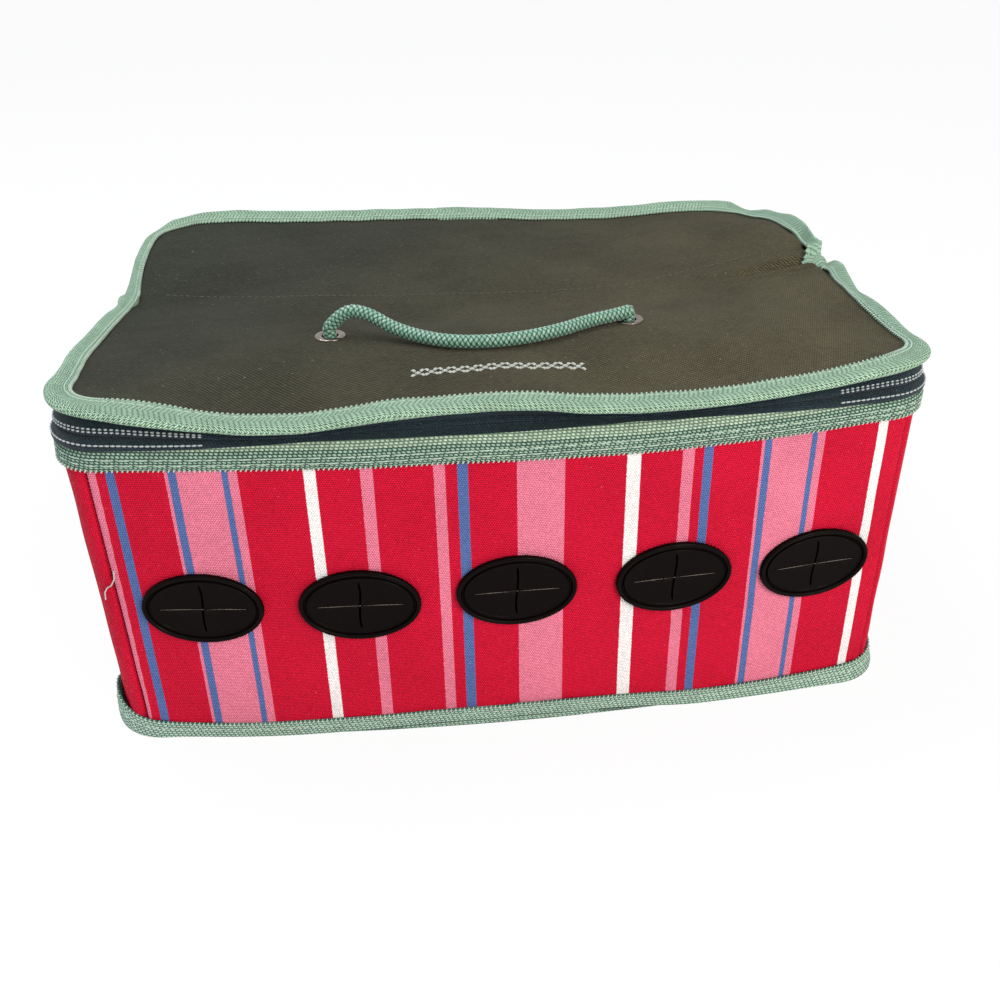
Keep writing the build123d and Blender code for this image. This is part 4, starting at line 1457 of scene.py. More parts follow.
@dataclass
class Walls:
    """The striped canvas walls and base, their boards and the lining.

    Attributes:
        low: The height where the canvas starts, and lining_low that of the lining.
        slots: Where the slots are: the place along the outline and the height.
        seam_front: The angle round the corner of the right front seam, and so on.
        wall: Thickness of canvas and board together.
        short: How far the canvas ends below the walls' top, inside the webbing.
        hole_inset: How far the hole for a slot lies inside the slot's rim.
        share: Area of the base's sheets as a share of the rectangle round them.
    """

    plan: Plan
    low: float
    top: float
    slots: list[Row]
    slot_half: tuple[float, float]
    seam_front: float = radians(37)
    seam_left: float = radians(28.5)
    seam_back: float = radians(45)
    canvas: float = 1.0 * MM
    wall: float = 3.8 * MM
    lining: float = 0.6 * MM
    lining_low: float = 4.4 * MM
    short: float = 2.2 * MM
    hole_inset: float = 2.6 * MM
    cell: float = 1.6 * MM
    share: float = 0.97

    def seams(self) -> tuple[float, float, float, float]:
        """The places of the left front, right front, right back and left back seams."""
        back = self.plan.place_of_angle(pi / 2 - self.seam_back)
        return (
            -self.plan.place_of_angle(self.seam_left - pi / 2),
            self.plan.place_of_angle(self.seam_front - pi / 2),
            back,
            self.plan.length - back,
        )

    def span(self, side: Side) -> tuple[float, float]:
        """The places where a wall's panel starts and ends."""
        left, front, back, far = self.seams()
        ends = (left, front, back, far, left + self.plan.length)
        first = list(Side).index(side)
        return ends[first], ends[first + 1]

    def swell(self, place: Array, height: Array) -> Array:
        """How far the canvas stands out: soft waves, and a seam's groove between two ridges.

        Args:
            place: Places along the outline.
            height: Their heights.

        Returns:
            The distances.
        """
        left = self.seams()[0]
        out = 0.34 * MM + 0.22 * MM * ripple(place, height, 85 * MM, 3)
        out = out + 0.12 * MM * ripple(place, height, 24 * MM, 5)
        for seam in (*self.seams(), left + self.plan.length):
            off = np.abs(place - seam)
            out = out - 1.0 * MM * bell(off, 0, 0.8 * MM) + 0.75 * MM * bell(off, 2.2 * MM, 1.3 * MM)
            out = out + 0.12 * MM * np.sin(2 * pi * height / (9 * MM)) * bell(off, 4 * MM, 2.5 * MM)
        out = out + 1.3 * MM * bell(place - left - self.plan.length, -5.5 * MM, 3.6 * MM)
        if place.max() < self.plan.length / 3:
            for x, z in self.slots:
                off = np.hypot((place - x) / self.slot_half[0], (height - z) / self.slot_half[1])
                out = out * smooth(off, 0.9, 1.3)
        return out

    def sheet(self, side: Side, facing: Facing) -> Piece:
        """Make one wall's canvas or lining: the outline carried up to the rim.

        Args:
            side: Which wall.
            facing: OUT for canvas and IN for lining.

        Returns:
            The sheet, still without thickness.
        """
        outside, front = facing is Facing.OUT, side is Side.FRONT
        low, top = (self.low, self.top - self.short) if outside else (self.lining_low, self.top)
        first, last = self.span(side)
        places = np.linspace(first, last, int((last - first) / self.cell) + 1)
        heights = np.linspace(low, top, int((top - low) / self.cell) + 1)
        place, height = np.meshgrid(places, heights, indexing="ij")
        keep = None
        if front:
            hole = tuple(half - self.hole_inset for half in self.slot_half)
            place, height, keep = opened(place, height, self.slots, hole, 0.5)
        inset = -self.swell(place, height) if outside else self.wall
        if not outside and not front:
            bag = 0.35 * MM * (1 + ripple(place, height, 60 * MM, 9))
            inset = inset + bag * smooth(height, low, low + 8 * MM)
        points = raised(self.plan.at(place, inset), height)
        cloth = self.cloth_place(side, place, (self.top - height) / (self.top - self.low))
        if outside and front:
            points[..., 2] += 1.4 * self.plan.off_floor(place) * (1 - smooth(height, low, low + 14 * MM))
        name, finish = ("canvas", CANVAS) if outside else ("wall_lining", LINING)
        return Skin().grid(points, cloth, height, facing, keep=keep).make(f"{side.value}_{name}", finish)

    def cloth_place(self, side: Side, place: Array, down: Array) -> Array:
        """Where on the printed cloth a place of a wall lies, down going from 0 to 1.

        The front's cloth is drawn out near its two seams and fans out downwards, and the
        other walls are cut so that they start in a plain red stretch.

        Args:
            side: Which wall.
            place: Places along the outline.
            down: How far down the wall they lie.

        Returns:
            The distances across the cloth.
        """
        first, last = self.span(side)
        if side is Side.FRONT:
            drawn = place * (1 + 0.022 * (np.maximum(place, 0) / (160 * MM)) ** 4 - 0.012 * down)
            return drawn + 128.5 * MM - 1.8 * MM * smooth(-place, 130 * MM, 156 * MM)
        starts = {Side.RIGHT: 29 * MM - first, Side.BACK: 100 * MM - first, Side.LEFT: 49 * MM - last}
        return place + starts[side]

    def base(self) -> None:
        """Make the canvas under the box and the lining on its floor."""
        flat = self.plan.filled(1.5 * MM, 120, 92)
        points = raised(flat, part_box("base_panel")[0].z)
        under = Skin().grid(points, *np.moveaxis(flat, -1, 0), Facing.DOWN).make("base_canvas", CANVAS)
        thicken(under, self.canvas)
        settle(under, "box", "base_panel")
        flat = self.plan.filled(self.wall + 0.4 * MM, 120, 92)
        x, y = np.moveaxis(flat, -1, 0)
        bottom, top = (corner.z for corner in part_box("base_lining"))
        points = raised(flat, top + 0.35 * MM * (1 + ripple(x, y, 70 * MM, 13)))
        floor = Skin().grid(points, x, y, Facing.UP).make("floor_lining", LINING)
        thicken(floor, top - bottom)
        settle(floor, "box", "base_lining")

    def build(self) -> None:
        """Make the canvas, the lining and the boards."""
        for side in Side:
            first, last = self.span(side)
            kinds = ((Facing.OUT, self.canvas, "panel"), (Facing.IN, self.lining, "lining"))
            for facing, thickness, node in kinds:
                piece = self.sheet(side, facing)
                thicken(piece, thickness)
                settle(piece, "box", f"{side.value}_{node}")
            dress_node(f"{side.value}_board", BOARD)
        dress_node("base_board", BOARD)
        self.base()
        self.loose_thread()

    def loose_thread(self) -> None:
        """Leave the end of a sewing thread hanging out of the left front seam."""
        corners = [(-155.6, -121.4, 88), (-156.2, -121.9, 84), (-158, -121.3, 81), (-160.4, -119.9, 79)]
        corners += [(-161.8, -119.3, 76.5), (-162.2, -119.2, 73)]
        step = 0.6 * MM
        bends = spread_evenly(np.array(corners) * MM, step)
        rings, angle = tube(bends, 0.28 * MM, 8, np.array([0.3, 1.0, 0.1]))
        along = np.arange(len(bends))[:, None] * step
        skin = Skin().grid(rings, along, angle * 0.2 * MM, weld_columns=True, capped=True)
        settle(skin.make("loose_thread", PALE_THREAD), "box")


def dress_node(node: str, finish: Finish) -> None:
    """Give a CAD node its finish, in all its material slots."""
    piece = frame["nodes"][node]
    piece.data.materials.clear()
    piece.data.materials.append(finish.material())


@dataclass
class Bindings:
    """The webbing over the rim of the walls and the webbing round the base.

    Attributes:
        rim_top: The height of the rim webbing's top, and rim_low that of its lower edge.
        shorter: How much shorter it is along the front, at the places in across.
        spread: How far the base webbing stands out there, at those in spread_across.
    """

    plan: Plan
    rim_top: float
    rim_low: float
    across: Row = (-172, -110, -60, 0, 40, 120, 172)
    shorter: Row = (1.3, 1.2, 0.6, 0, -0.5, 0.4, 1.5)
    spread_across: Row = (-172, 70, 100, 128, 152, 165, 172)
    spread: Row = (0, 0, 0.5, 1.7, 2.6, 2.0, 0.8)

    def rim_path(self, place: Array) -> Array:
        """The rim webbing's line: up the outside, over the walls and down the inside.

        Its lower edge wanders, and is shorter and stands off a little at the front corners.

        Args:
            place: Places along the outline.

        Returns:
            The insets and heights of the line at each place.
        """
        top, low = self.rim_top / MM - 0.55, self.rim_low / MM
        line = arc_path(
            [(-0.65, low), (-1.3, low + 2.5), (-1.6, low + 6), (-1.2, low + 7.6), (0.1, top - 0.6),
             (1.4, top + 0.25), (3.8, top + 0.25), (4.5, top - 1.2), (4.5, low + 5), (4.45, low)], 4
        )
        path = np.repeat(line[None], len(place), axis=0)
        x, y = self.plan.at(place).T
        down = np.clip((self.rim_top - path[..., 1]) / (self.rim_top - self.rim_low), 0, 1)
        outer = path[..., 0] < 1.5 * MM
        front, left = y < -90 * MM, x < 0
        wander = 0.35 * MM * ripple(place, 0 * place, 70 * MM, 21)
        shorter = glide(x, self.across, self.shorter) * front
        flare = 1.3 * MM * bell(np.abs(x), 162 * MM, 14 * MM) * front * (0.8 + 0.3 * left)
        drawn = 0.9 * MM * bell(np.abs(x), 166 * MM, 12 * MM) * front * np.where(left, 1.0, 0.5)
        path[..., 1] += (wander + shorter)[:, None] * down * outer
        bulge = 0.25 * MM * np.sin(pi * down)
        path[..., 0] += (drawn[:, None] * (1 - down) - flare[:, None] * down**2 - bulge) * outer
        return path

    def base_path(self, place: Array) -> Array:
        """The base webbing's line: down the outside and in under the base.

        At the front corners it flares out, at the left hand one like a small ear, and in the
        middle of the front it stands a little off the floor.

        Args:
            place: Places along the outline.

        Returns:
            The insets and heights of the line at each place.
        """
        line = arc_path([(-0.65, 8.5), (-0.7, 5), (-0.7, 0.7), (1.2, 0.62), (6, 0.6), (9.6, 0.6)], 5)
        path = np.repeat(line[None], len(place), axis=0)
        x, y = self.plan.at(place).T
        down = 1 - np.clip(path[..., 1] / (9.5 * MM), 0, 1)
        outer = path[..., 0] < 1.0 * MM
        corner = 1.6 * MM * bell(np.abs(x), 163 * MM, 13 * MM) * np.where(y < -80 * MM, 1.0, 0.35)
        ear = bell(np.hypot(x + 167 * MM, y + 106 * MM), 0, 15 * MM)
        spread = glide(x, self.spread_across, self.spread) * smooth(-y, 90 * MM, 115 * MM)
        stretch = (1.0 + 2.6 * np.sqrt(down) * (1 - 0.55 * down**2)) * MM
        flare = corner[:, None] * down**1.5 + ear[:, None] * stretch + spread[:, None] * down
        path[..., 0] -= flare * outer
        wander = 0.3 * MM * ripple(place, 0 * place, 60 * MM, 23)
        upright = bell(np.hypot(x + 170 * MM, y + 99 * MM), 0, 9 * MM)
        rise = (wander + (4.2 * ear + 6.5 * upright) * MM)[:, None] * (1 - down)
        path[..., 1] += (rise + self.plan.off_floor(place)[:, None] * (1 + 0.4 * down)) * outer
        return path

    def build(self) -> None:
        """Make both strips with their selvedges and stitches."""
        rim = Webbing(self.plan, stitch_pitch=6.3 * MM, stitch_length=5.5 * MM, finish=RIM_SAGE)
        rim.bind(self.rim_path, (0.0, 1.0), (0.078, 0.17, 0.87))
        rim.made("rim_webbing", "box", "rim_binding")
        base = Webbing(self.plan, outer=-1, finish=BASE_SAGE, loop_radius=0.28 * MM, loop_length=1.4 * MM)
        base.bind(self.base_path, (0.0,), (0.12,))
        base.made("base_webbing", "box", "base_binding")


@dataclass
class RibbonSlot:
    """A moulded oval slot: a raised rim with a groove, a dished membrane and a cross cut.

    Attributes:
        origin: Its middle, on the outside of the wall.
        normal: The direction out of the wall.
        cut: Half of the level cut's width, and upright_cut that of the upright one.
        cut_reach: How far the cuts go, as a share of the membrane.
        lip: How far inside its edge the membrane starts.
    """

    index: int
    origin: Array
    normal: Array
    half: tuple[float, float]
    sides: int = 144
    cut: float = 0.16 * MM
    upright_cut: float = 0.42 * MM
    cut_reach: float = 0.93
    lip: float = 3.9 * MM
    membrane: float = 0.8 * MM

    @property
    def axes(self) -> Array:
        """The slot's directions across, up and out of the wall."""
        return np.stack([np.array([-self.normal[1], self.normal[0], 0.0]), UPRIGHT, self.normal])

    def turned(self, local: Array) -> Array:
        """Put points, given across, up and out of the wall, where the slot is."""
        return self.origin + local @ self.axes

    def moulding(self, skin: Skin) -> None:
        """Add the rim and barrel: a profile of insets and heights carried round the oval.

        A point is ((a - inset) cos t, (b - inset) sin t, height).

        Args:
            skin: The slot's skin.
        """
        profile = arc_path(
            [(0.25, 0.05), (0.0, 0.3), (0.0, 1.4), (0.3, 2.1), (1.0, 2.35), (1.7, 2.1), (2.1, 1.3),
             (2.2, 0.7), (2.9, 0.65), (3.05, 1.3), (3.3, 1.75), (3.8, 1.75), (4.1, 1.3), (4.3, 0.4),
             (4.8, -0.05), (4.8, -2.8), (4.8, -5.6), (3.3, -5.7), (3.2, -2.8), (3.2, 0.0), (0.5, 0.0),
             (0.25, 0.05)], 4
        )
        angle = np.linspace(0, 2 * pi, self.sides + 1)[:, None]
        wide, tall = (half - profile[:, 0] for half in self.half)
        local = np.stack([wide * np.cos(angle), tall * np.sin(angle), profile[:, 1] + 0 * angle], axis=-1)
        along = walked(profile)
        skin.grid(self.turned(local), angle * self.half[0], along, weld_rows=True, weld_columns=True)

    def petal(self, skin: Skin, sign_x: int, sign_y: int) -> None:
        """Add a quarter of the membrane, from its rim to the crossing of the cuts.

        A point is at the share r from the middle to the rim and the angle t: across is
        g + r(A - g) cos t and up is h + r(B - h) sin t, where g and h are half of the cuts
        and close near the rim. The upright cut is bowed like an S, and the tip curls out a
        little, each petal by its own amount.

        Args:
            skin: The slot's skin.
            sign_x: 1 for a petal on the right and -1 for one on the left.
            sign_y: 1 for an upper petal and -1 for a lower one.
        """
        r = np.linspace(0, 1, 22)[:, None]
        t = np.linspace(0, pi / 2, 25)[None]
        closed = 1 - smooth(r, self.cut_reach - 0.12, self.cut_reach)
        aside, gap = self.upright_cut * closed, self.cut * closed
        wide, tall = self.half[0] - self.lip, self.half[1] - self.lip
        bow = 0.5 * MM * np.sin(pi * r) * np.sin(t) ** 8 * sign_x * sign_y
        across = aside + r * (wide - aside) * np.cos(t) + bow
        up = gap + r * (tall - gap) * np.sin(t)
        share = ((self.index * 7 + sign_x * 3 + sign_y * 5) % 8) / 8
        curl = (0.1 + 0.35 * share) * MM * (1 - smooth(r, 0.0, 0.75)) * (0.6 + 0.4 * np.cos(2 * t + share))
        height = 1.5 * MM - 0.25 * MM * (1 - r**2) + curl
        edge = 0.12 * MM * (np.exp(-np.sin(t) * r * 12) + np.exp(-np.cos(t) * r * 12)) * (1 - r)
        local = np.stack([sign_x * across, sign_y * up, height + edge], axis=-1)
        top, bottom = self.turned(local), self.turned(local - self.membrane * UPRIGHT)
        skin.grid(top, across, up, Facing.OUT)
        skin.grid(bottom, across, up, Facing.IN)
        self.cut_wall(skin, top[:, 0], bottom[:, 0], -sign_y * self.axes[1])
        self.cut_wall(skin, top[:, -1], bottom[:, -1], -sign_x * self.axes[0])

    def cut_highlight(self) -> None:
        """Lay a pale edge along the level cut, as a thin tube: a painted highlight where light catches the
        cut.
        """
        reach = (self.half[0] - self.lip) * self.cut_reach * 0.9
        share = np.linspace(-1, 1, 40)
        local = np.stack([share * reach, 0 * share - 0.1 * MM, 1.3 * MM + 0.25 * MM * share**2], axis=1)
        thin = 0.13 * MM * (1 - 0.7 * share**4)
        rings, angle = tube(self.turned(local), thin[:, None], 6, UPRIGHT)
        skin = Skin().grid(rings, share[:, None] * reach, angle * 0.1 * MM, weld_columns=True, capped=True)
        settle(skin.make(f"slot_cut_highlight_{self.index}", CUT_HIGHLIGHT), "box")

    @staticmethod
    def cut_wall(skin: Skin, top: Array, bottom: Array, wanted: Array) -> None:
        """Add the thin face of a cut between two edges.

        Args:
            skin: The slot's skin.
            top: The petal's outer edge along the cut.
            bottom: Its inner edge.
            wanted: The direction across the cut, which the face looks in.
        """
        wall = np.stack([top, bottom], axis=1)
        if np.cross(bottom[0] - top[0], top[-1] - top[0]) @ wanted < 0:
            wall = wall[:, ::-1]
        quads = Skin.cells(np.arange(wall.shape[0] * 2).reshape(-1, 2))
        skin.put(wall, quads, np.zeros((len(quads), 4, 2)))

    def build(self) -> None:
        """Make the slot and give its retaining ring a finish."""
        skin = Skin()
        self.moulding(skin)
        for sign_x in (-1, 1):
            for sign_y in (-1, 1):
                self.petal(skin, sign_x, sign_y)
        piece = skin.make(f"slot_moulding_{self.index}", RUBBER)
        settle(piece, "box", f"ribbon_slot_{self.index}")
        self.cut_highlight()
        dress_node(f"slot_retainer_{self.index}", RETAINER)


@dataclass
class Zip:
    """The zip between rim and lid: two tapes with rolled edges, their teeth and stitches.

    Round the front's corners both tapes are pushed out into lips.

    Attributes:
        end_y: Where the zip ends on both sides.
        tuck: How far it lies back along the middle of the front.
        bulge: How far it stands out at the front's two corners.
        unsewn: How far the stretch with hidden stitches reaches, left and right of the middle.
        least: The least height that a tape is drawn together to.
        cloth: The width of the hinge's cloth, which reaches round by hinge_turn.
    """

    plan: Plan
    drape: Drape
    end_y: float
    fold_y: float
    rim_top: float
    lid_low: float
    tuck: float = 4.0 * MM
    bulge: float = 0.5 * MM
    unsewn: tuple[float, float] = (112 * MM, 128 * MM)
    middle: float = 144.7 * MM
    pitch: float = 1.25 * MM
    least: float = 0.6 * MM
    cloth: float = 10.5 * MM
    hinge_turn: float = radians(62)

    def reach(self) -> float:
        """The place where the zip ends on the right hand side."""
        return self.plan.side_place(self.end_y)

    def lean(self, place: Array) -> tuple[Array, Array, Array]:
        """Find how the zip gives way under the lid.

        Args:
            place: Places along the outline.

        Returns:
            How far in it lies, how far its middle sinks, and how far the lid falls there.
        """
        spot = self.plan.at(place)
        front = smooth(-spot[:, 1], 100 * MM, 122 * MM)
        fall = self.drape.fall(spot[:, 0], spot[:, 1])
        inwards = (self.tuck * np.exp(-((spot[:, 0] / (95 * MM)) ** 4)) - self.bulge) * front
        inwards = inwards + 2.5 * MM * smooth(-fall, 3 * MM, 8 * MM) * (1 - front)
        return inwards, np.where(fall > 0, 0.45, 0.25) * fall, fall

    def tape_path(self, upper: bool) -> Path:
        """The line of a tape: flat from its seam, then rolled out over the teeth and back.

        Its seam follows the rim or the lid, its rolled edge follows the zip's middle, and
        what lies between is drawn together in the same share. The line goes over to the
        one with a lip by a smooth share that is 1 round the front's corners.

        Args:
            upper: Whether it is the lid's tape.

        Returns:
            The path, which takes places along the outline.
        """
        middle = self.middle / MM
        if upper:
            far = self.lid_low / MM + 0.9
            flat = [(2.0, far), (1.8, far - 1.2), (1.4, middle + 3.4), (0.7, middle + 2.1),
                    (-0.1, middle + 0.95), (0.3, middle + 0.14), (1.1, middle + 0.1)]
            lip = [(3.4, far), (2.2, far - 1.4), (0.8, middle + 3.9), (0.1, middle + 2.8),
                   (0.1, middle + 1.3), (0.7, middle + 0.7), (2.0, middle + 0.1)]
        else:
            far = self.rim_top / MM - 0.6
            flat = [(2.2, far), (1.6, far + 0.6), (1.2, far + 0.9), (0.6, middle - 2.8),
                    (0.2, middle - 2.7), (0.2, middle - 1.6), (-0.1, middle - 0.85),
                    (0.3, middle - 0.14), (1.1, middle - 0.1)]
            lip = [(2.2, far), (0.4, far + 1.2), (-1.4, far + 0.8), (-2.1, far - 0.8), (-2.2, far + 0.3),
                   (-1.5, far + 1.7), (-0.4, middle - 0.6), (0.7, middle - 0.2), (2.0, middle - 0.1)]
        line, lipped = arc_path(flat, 4), arc_path(lip, 4)

        def path(place: Array) -> Array:
            """The insets and heights of the line at each place."""
            inwards, sink, fall = self.lean(place)
            spot = self.plan.at(place)
            pushed = smooth(np.abs(spot[:, 0]), 70 * MM, 140 * MM) * smooth(-spot[:, 1], 30 * MM, 90 * MM)
            rows = line + (lipped - line) * pushed[:, None, None]
            seam = line[0, 1] + (fall if upper else 0 * fall)
            share = (rows[..., 1] - line[0, 1]) / (self.middle - line[0, 1])
            end = self.middle + sink
            room = np.minimum(end - seam, -self.least) if upper else np.maximum(end - seam, self.least)
            rows[..., 0] += inwards[:, None] * np.clip(share * 1.5, 0.6 if upper else 0.0, 1)
            rows[..., 1] = end[:, None] - room[:, None] * (1 - share)
            return rows

        return path

    def teeth(self, upper: bool) -> Skin:
        """Stamp the teeth of a half: small arched loops that reach past the middle, in turn.

        Args:
            upper: Whether it is the lid's half.

        Returns:
            The teeth.
        """
        end = self.reach()
        places = np.arange(-end + (self.pitch / 2 if upper else 0), end, self.pitch)
        inwards, sink, _ = self.lean(places)
        sign = 1 if upper else -1
        spots = raised(self.plan.at(places, inwards + 2.1 * MM), self.middle + sign * 0.55 * MM + sink)
        ahead = unit(np.gradient(spots, axis=0))
        upright = np.broadcast_to(UPRIGHT, ahead.shape)
        axes = np.stack([upright, np.cross(ahead, upright), ahead], axis=1)
        return Skin().stamp(stitch(2.2 * MM, 0.42 * MM, 0.25 * MM), spots, axes)

    def half(self, upper: bool) -> None:
        """Make one tape with its teeth and stitches, on the box or on the lid.

        Args:
            upper: Whether it is the lid's half.
        """
        end = self.reach()
        name = "upper" if upper else "lower"
        length, outer = (1.25 * MM, -1) if upper else (1.8 * MM, 1)
        sewing = {"stitch_pitch": 2.1 * MM, "stitch_length": length, "stitch_radius": 0.38 * MM}
        strip = Webbing(self.plan, thickness=0.5 * MM, outer=outer, **sewing)
        path = self.tape_path(upper)
        strip.strip(path, -end, end)
        for share in (0.44, 0.57) if upper else (0.6,):
            strip.stitches(path, share, -end, -self.unsewn[0])
            strip.stitches(path, share, self.unsewn[1], end)
        halves = ("lid_rear", "lid_front") if upper else ("lower",)
        for skin, label, finish, node in (
            (strip.skin, "tape", TAPE, "zip_tape"),
            (strip.thread, "tape_stitches", ZIP_THREAD, ""),
            (self.teeth(upper), "teeth", TEETH, "zip_coil"),
        ):
            piece = skin.make(f"{name}_{label}", finish)
            settle(piece, "" if upper else "box", *(f"{half}_{node}" for half in halves if node))
            if upper:
                fold_over(piece)

    def hinge(self) -> None:
        """Make the strip that hinges the lid to the rim.

        It reaches up to the hanging lid, and what is left of its length folds inwards: by
        half of the root of its length squared less its rise squared, times sin(pi t).
        """
        first = self.plan.place_of_angle(pi / 2 - self.hinge_turn)
        last = self.plan.length - first
        places = np.linspace(first, last, 260)
        low = self.rim_top - 1.2 * MM
        place, up = np.meshgrid(places, np.linspace(0, 1, 15), indexing="ij")
        spot = self.plan.at(places)
        high = self.lid_low + 0.5 * MM + self.drape.fall(spot[:, 0], spot[:, 1])
        room = np.maximum(high - low, 2 * MM)[:, None]
        slack = np.sqrt(np.maximum(self.cloth**2 - room**2, 0)) / 2 * np.sin(pi * up)
        inset = 0.6 * MM + slack + 0.25 * MM * ripple(place, up * 0.02, 40 * MM, 31)
        points = raised(self.plan.at(place, inset), low + up * room + 0.25 * slack)
        strip = Skin().grid(points, place, up * self.cloth, Facing.OUT).make("hinge_cloth", TWILL)
        thicken(strip, 0.6 * MM)
        settle(strip, "", "lid_hinge_strip")
        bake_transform(strip)

    def build(self) -> None:
        """Make both halves, the hinge and the metal parts."""
        self.half(False)
        self.half(True)
        self.hinge()
        for node in ("zip_stop_left", "zip_stop_right", "zip_slider", "zip_pull"):
            dress_node(node, STEEL)


def fold_over(piece: Piece) -> None:
    """Bake the transform of a piece of the lid into its mesh."""
    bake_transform(piece)


@dataclass(frozen=True)
class Lie:
    """How the lid's webbing lies along one side, in rows of millimetres.

    Attributes:
        places: Where the other rows hold: y at the left and right, x at the front.
        outer_in: How far the outer edge is drawn in.
        inner_in: How far the inner edge is drawn in.
        outer_up: How far the outer edge is raised.
        inner_up: How far the inner edge is raised.
    """

    places: Row
    outer_in: Row
    inner_in: Row
    outer_up: Row
    inner_up: Row

    def shift(self, at: Array, outer: Array) -> Array:
        """Find how far in and how far up points move, by their share outer of the width.

        Args:
            at: Places along the side, in metres.
            outer: 1 at the outer edge and 0 at the inner one, a row for each place.

        Returns:
            The two distances, on the last axis.
        """
        shifts = []
        for edges in ((self.inner_in, self.outer_in), (self.inner_up, self.outer_up)):
            inner_shift, outer_shift = (glide(at, self.places, row)[:, None] for row in edges)
            shifts.append(inner_shift + (outer_shift - inner_shift) * outer)
        return np.stack(shifts, axis=-1)


LEFT_LIE = Lie(
    places=(-122, -108, -96, -80, -55, -25, -8, 10, 22, 30, 42, 60, 78, 100, 118),
    outer_in=(2.6, 3.2, 2.6, 2.4, 0, 0, 0, 0.5, 1.4, 0.3, 0.4, 0, 0, 0, 0),
    inner_in=(2.1, 2.5, 2.0, 0.2, -2, -2.8, -2.4, -2, -1.2, 0.4, -1.0, -2.2, -2, -2.2, -1.8),
    outer_up=(0, 1.2, 2, 2, 2.2, 2.2, 2.2, 1.9, 1.6, 2.3, -1.3, -4, -3.8, -2.2, -0.8),
    inner_up=(0, 0, 0, 0, 0, 0, 0, 0, 0.2, 1.7, 0, 0, 0, 0, 0),
)
RIGHT_LIE = Lie(
    places=(-122, -108, -92, -74, -52, -33, -17, -4, 4, 9, 15, 23, 32, 44, 56, 77, 103, 118),
    outer_in=(1.8, 2.6, 3.2, 2.6, 3, 2.7, 1.1, -0.8, 0.6, 1.0, 1.5, -1.2, -1, -1.3, 0, 0.5, 0, 0),
    inner_in=(2, 1.5, 0, -1.2, -1.2, -1.4, -1.8, -2.4, 3.6, 3.9, 0, -3.2, -4, -4.5, -3, -0.7, 0, 0),
    outer_up=(0, 0.1, 1, 2.1, 2.1, 0.1, 2.9, 3.4, 1.1, 1.3, 3.3, 4.1, 3.8, 4.8, 5.3, 3, 2.9, 0.5),
    inner_up=(0, 0, 0, 0, 0, 0, 0, 0, -5.4, -2.7, 2.8, 1.4, 0, 0, 0, 0, 0, 0),
)
FRONT_LIE = Lie(
    places=(-166, -150, -136, -112, -97, -69, -44, -20, 2, 32, 65, 94, 122, 149, 166),
    outer_in=(0,) * 15,
    inner_in=(0, 2, 3, 1.8, 1.5, 0.8, 2, 0.6, -0.8, 0.7, 1, 0.5, 0.5, 1.4, 1),
    outer_up=(0, 0, -1) + (0,) * 12,
    inner_up=(0, 0, 0.6) + (0,) * 12,
)


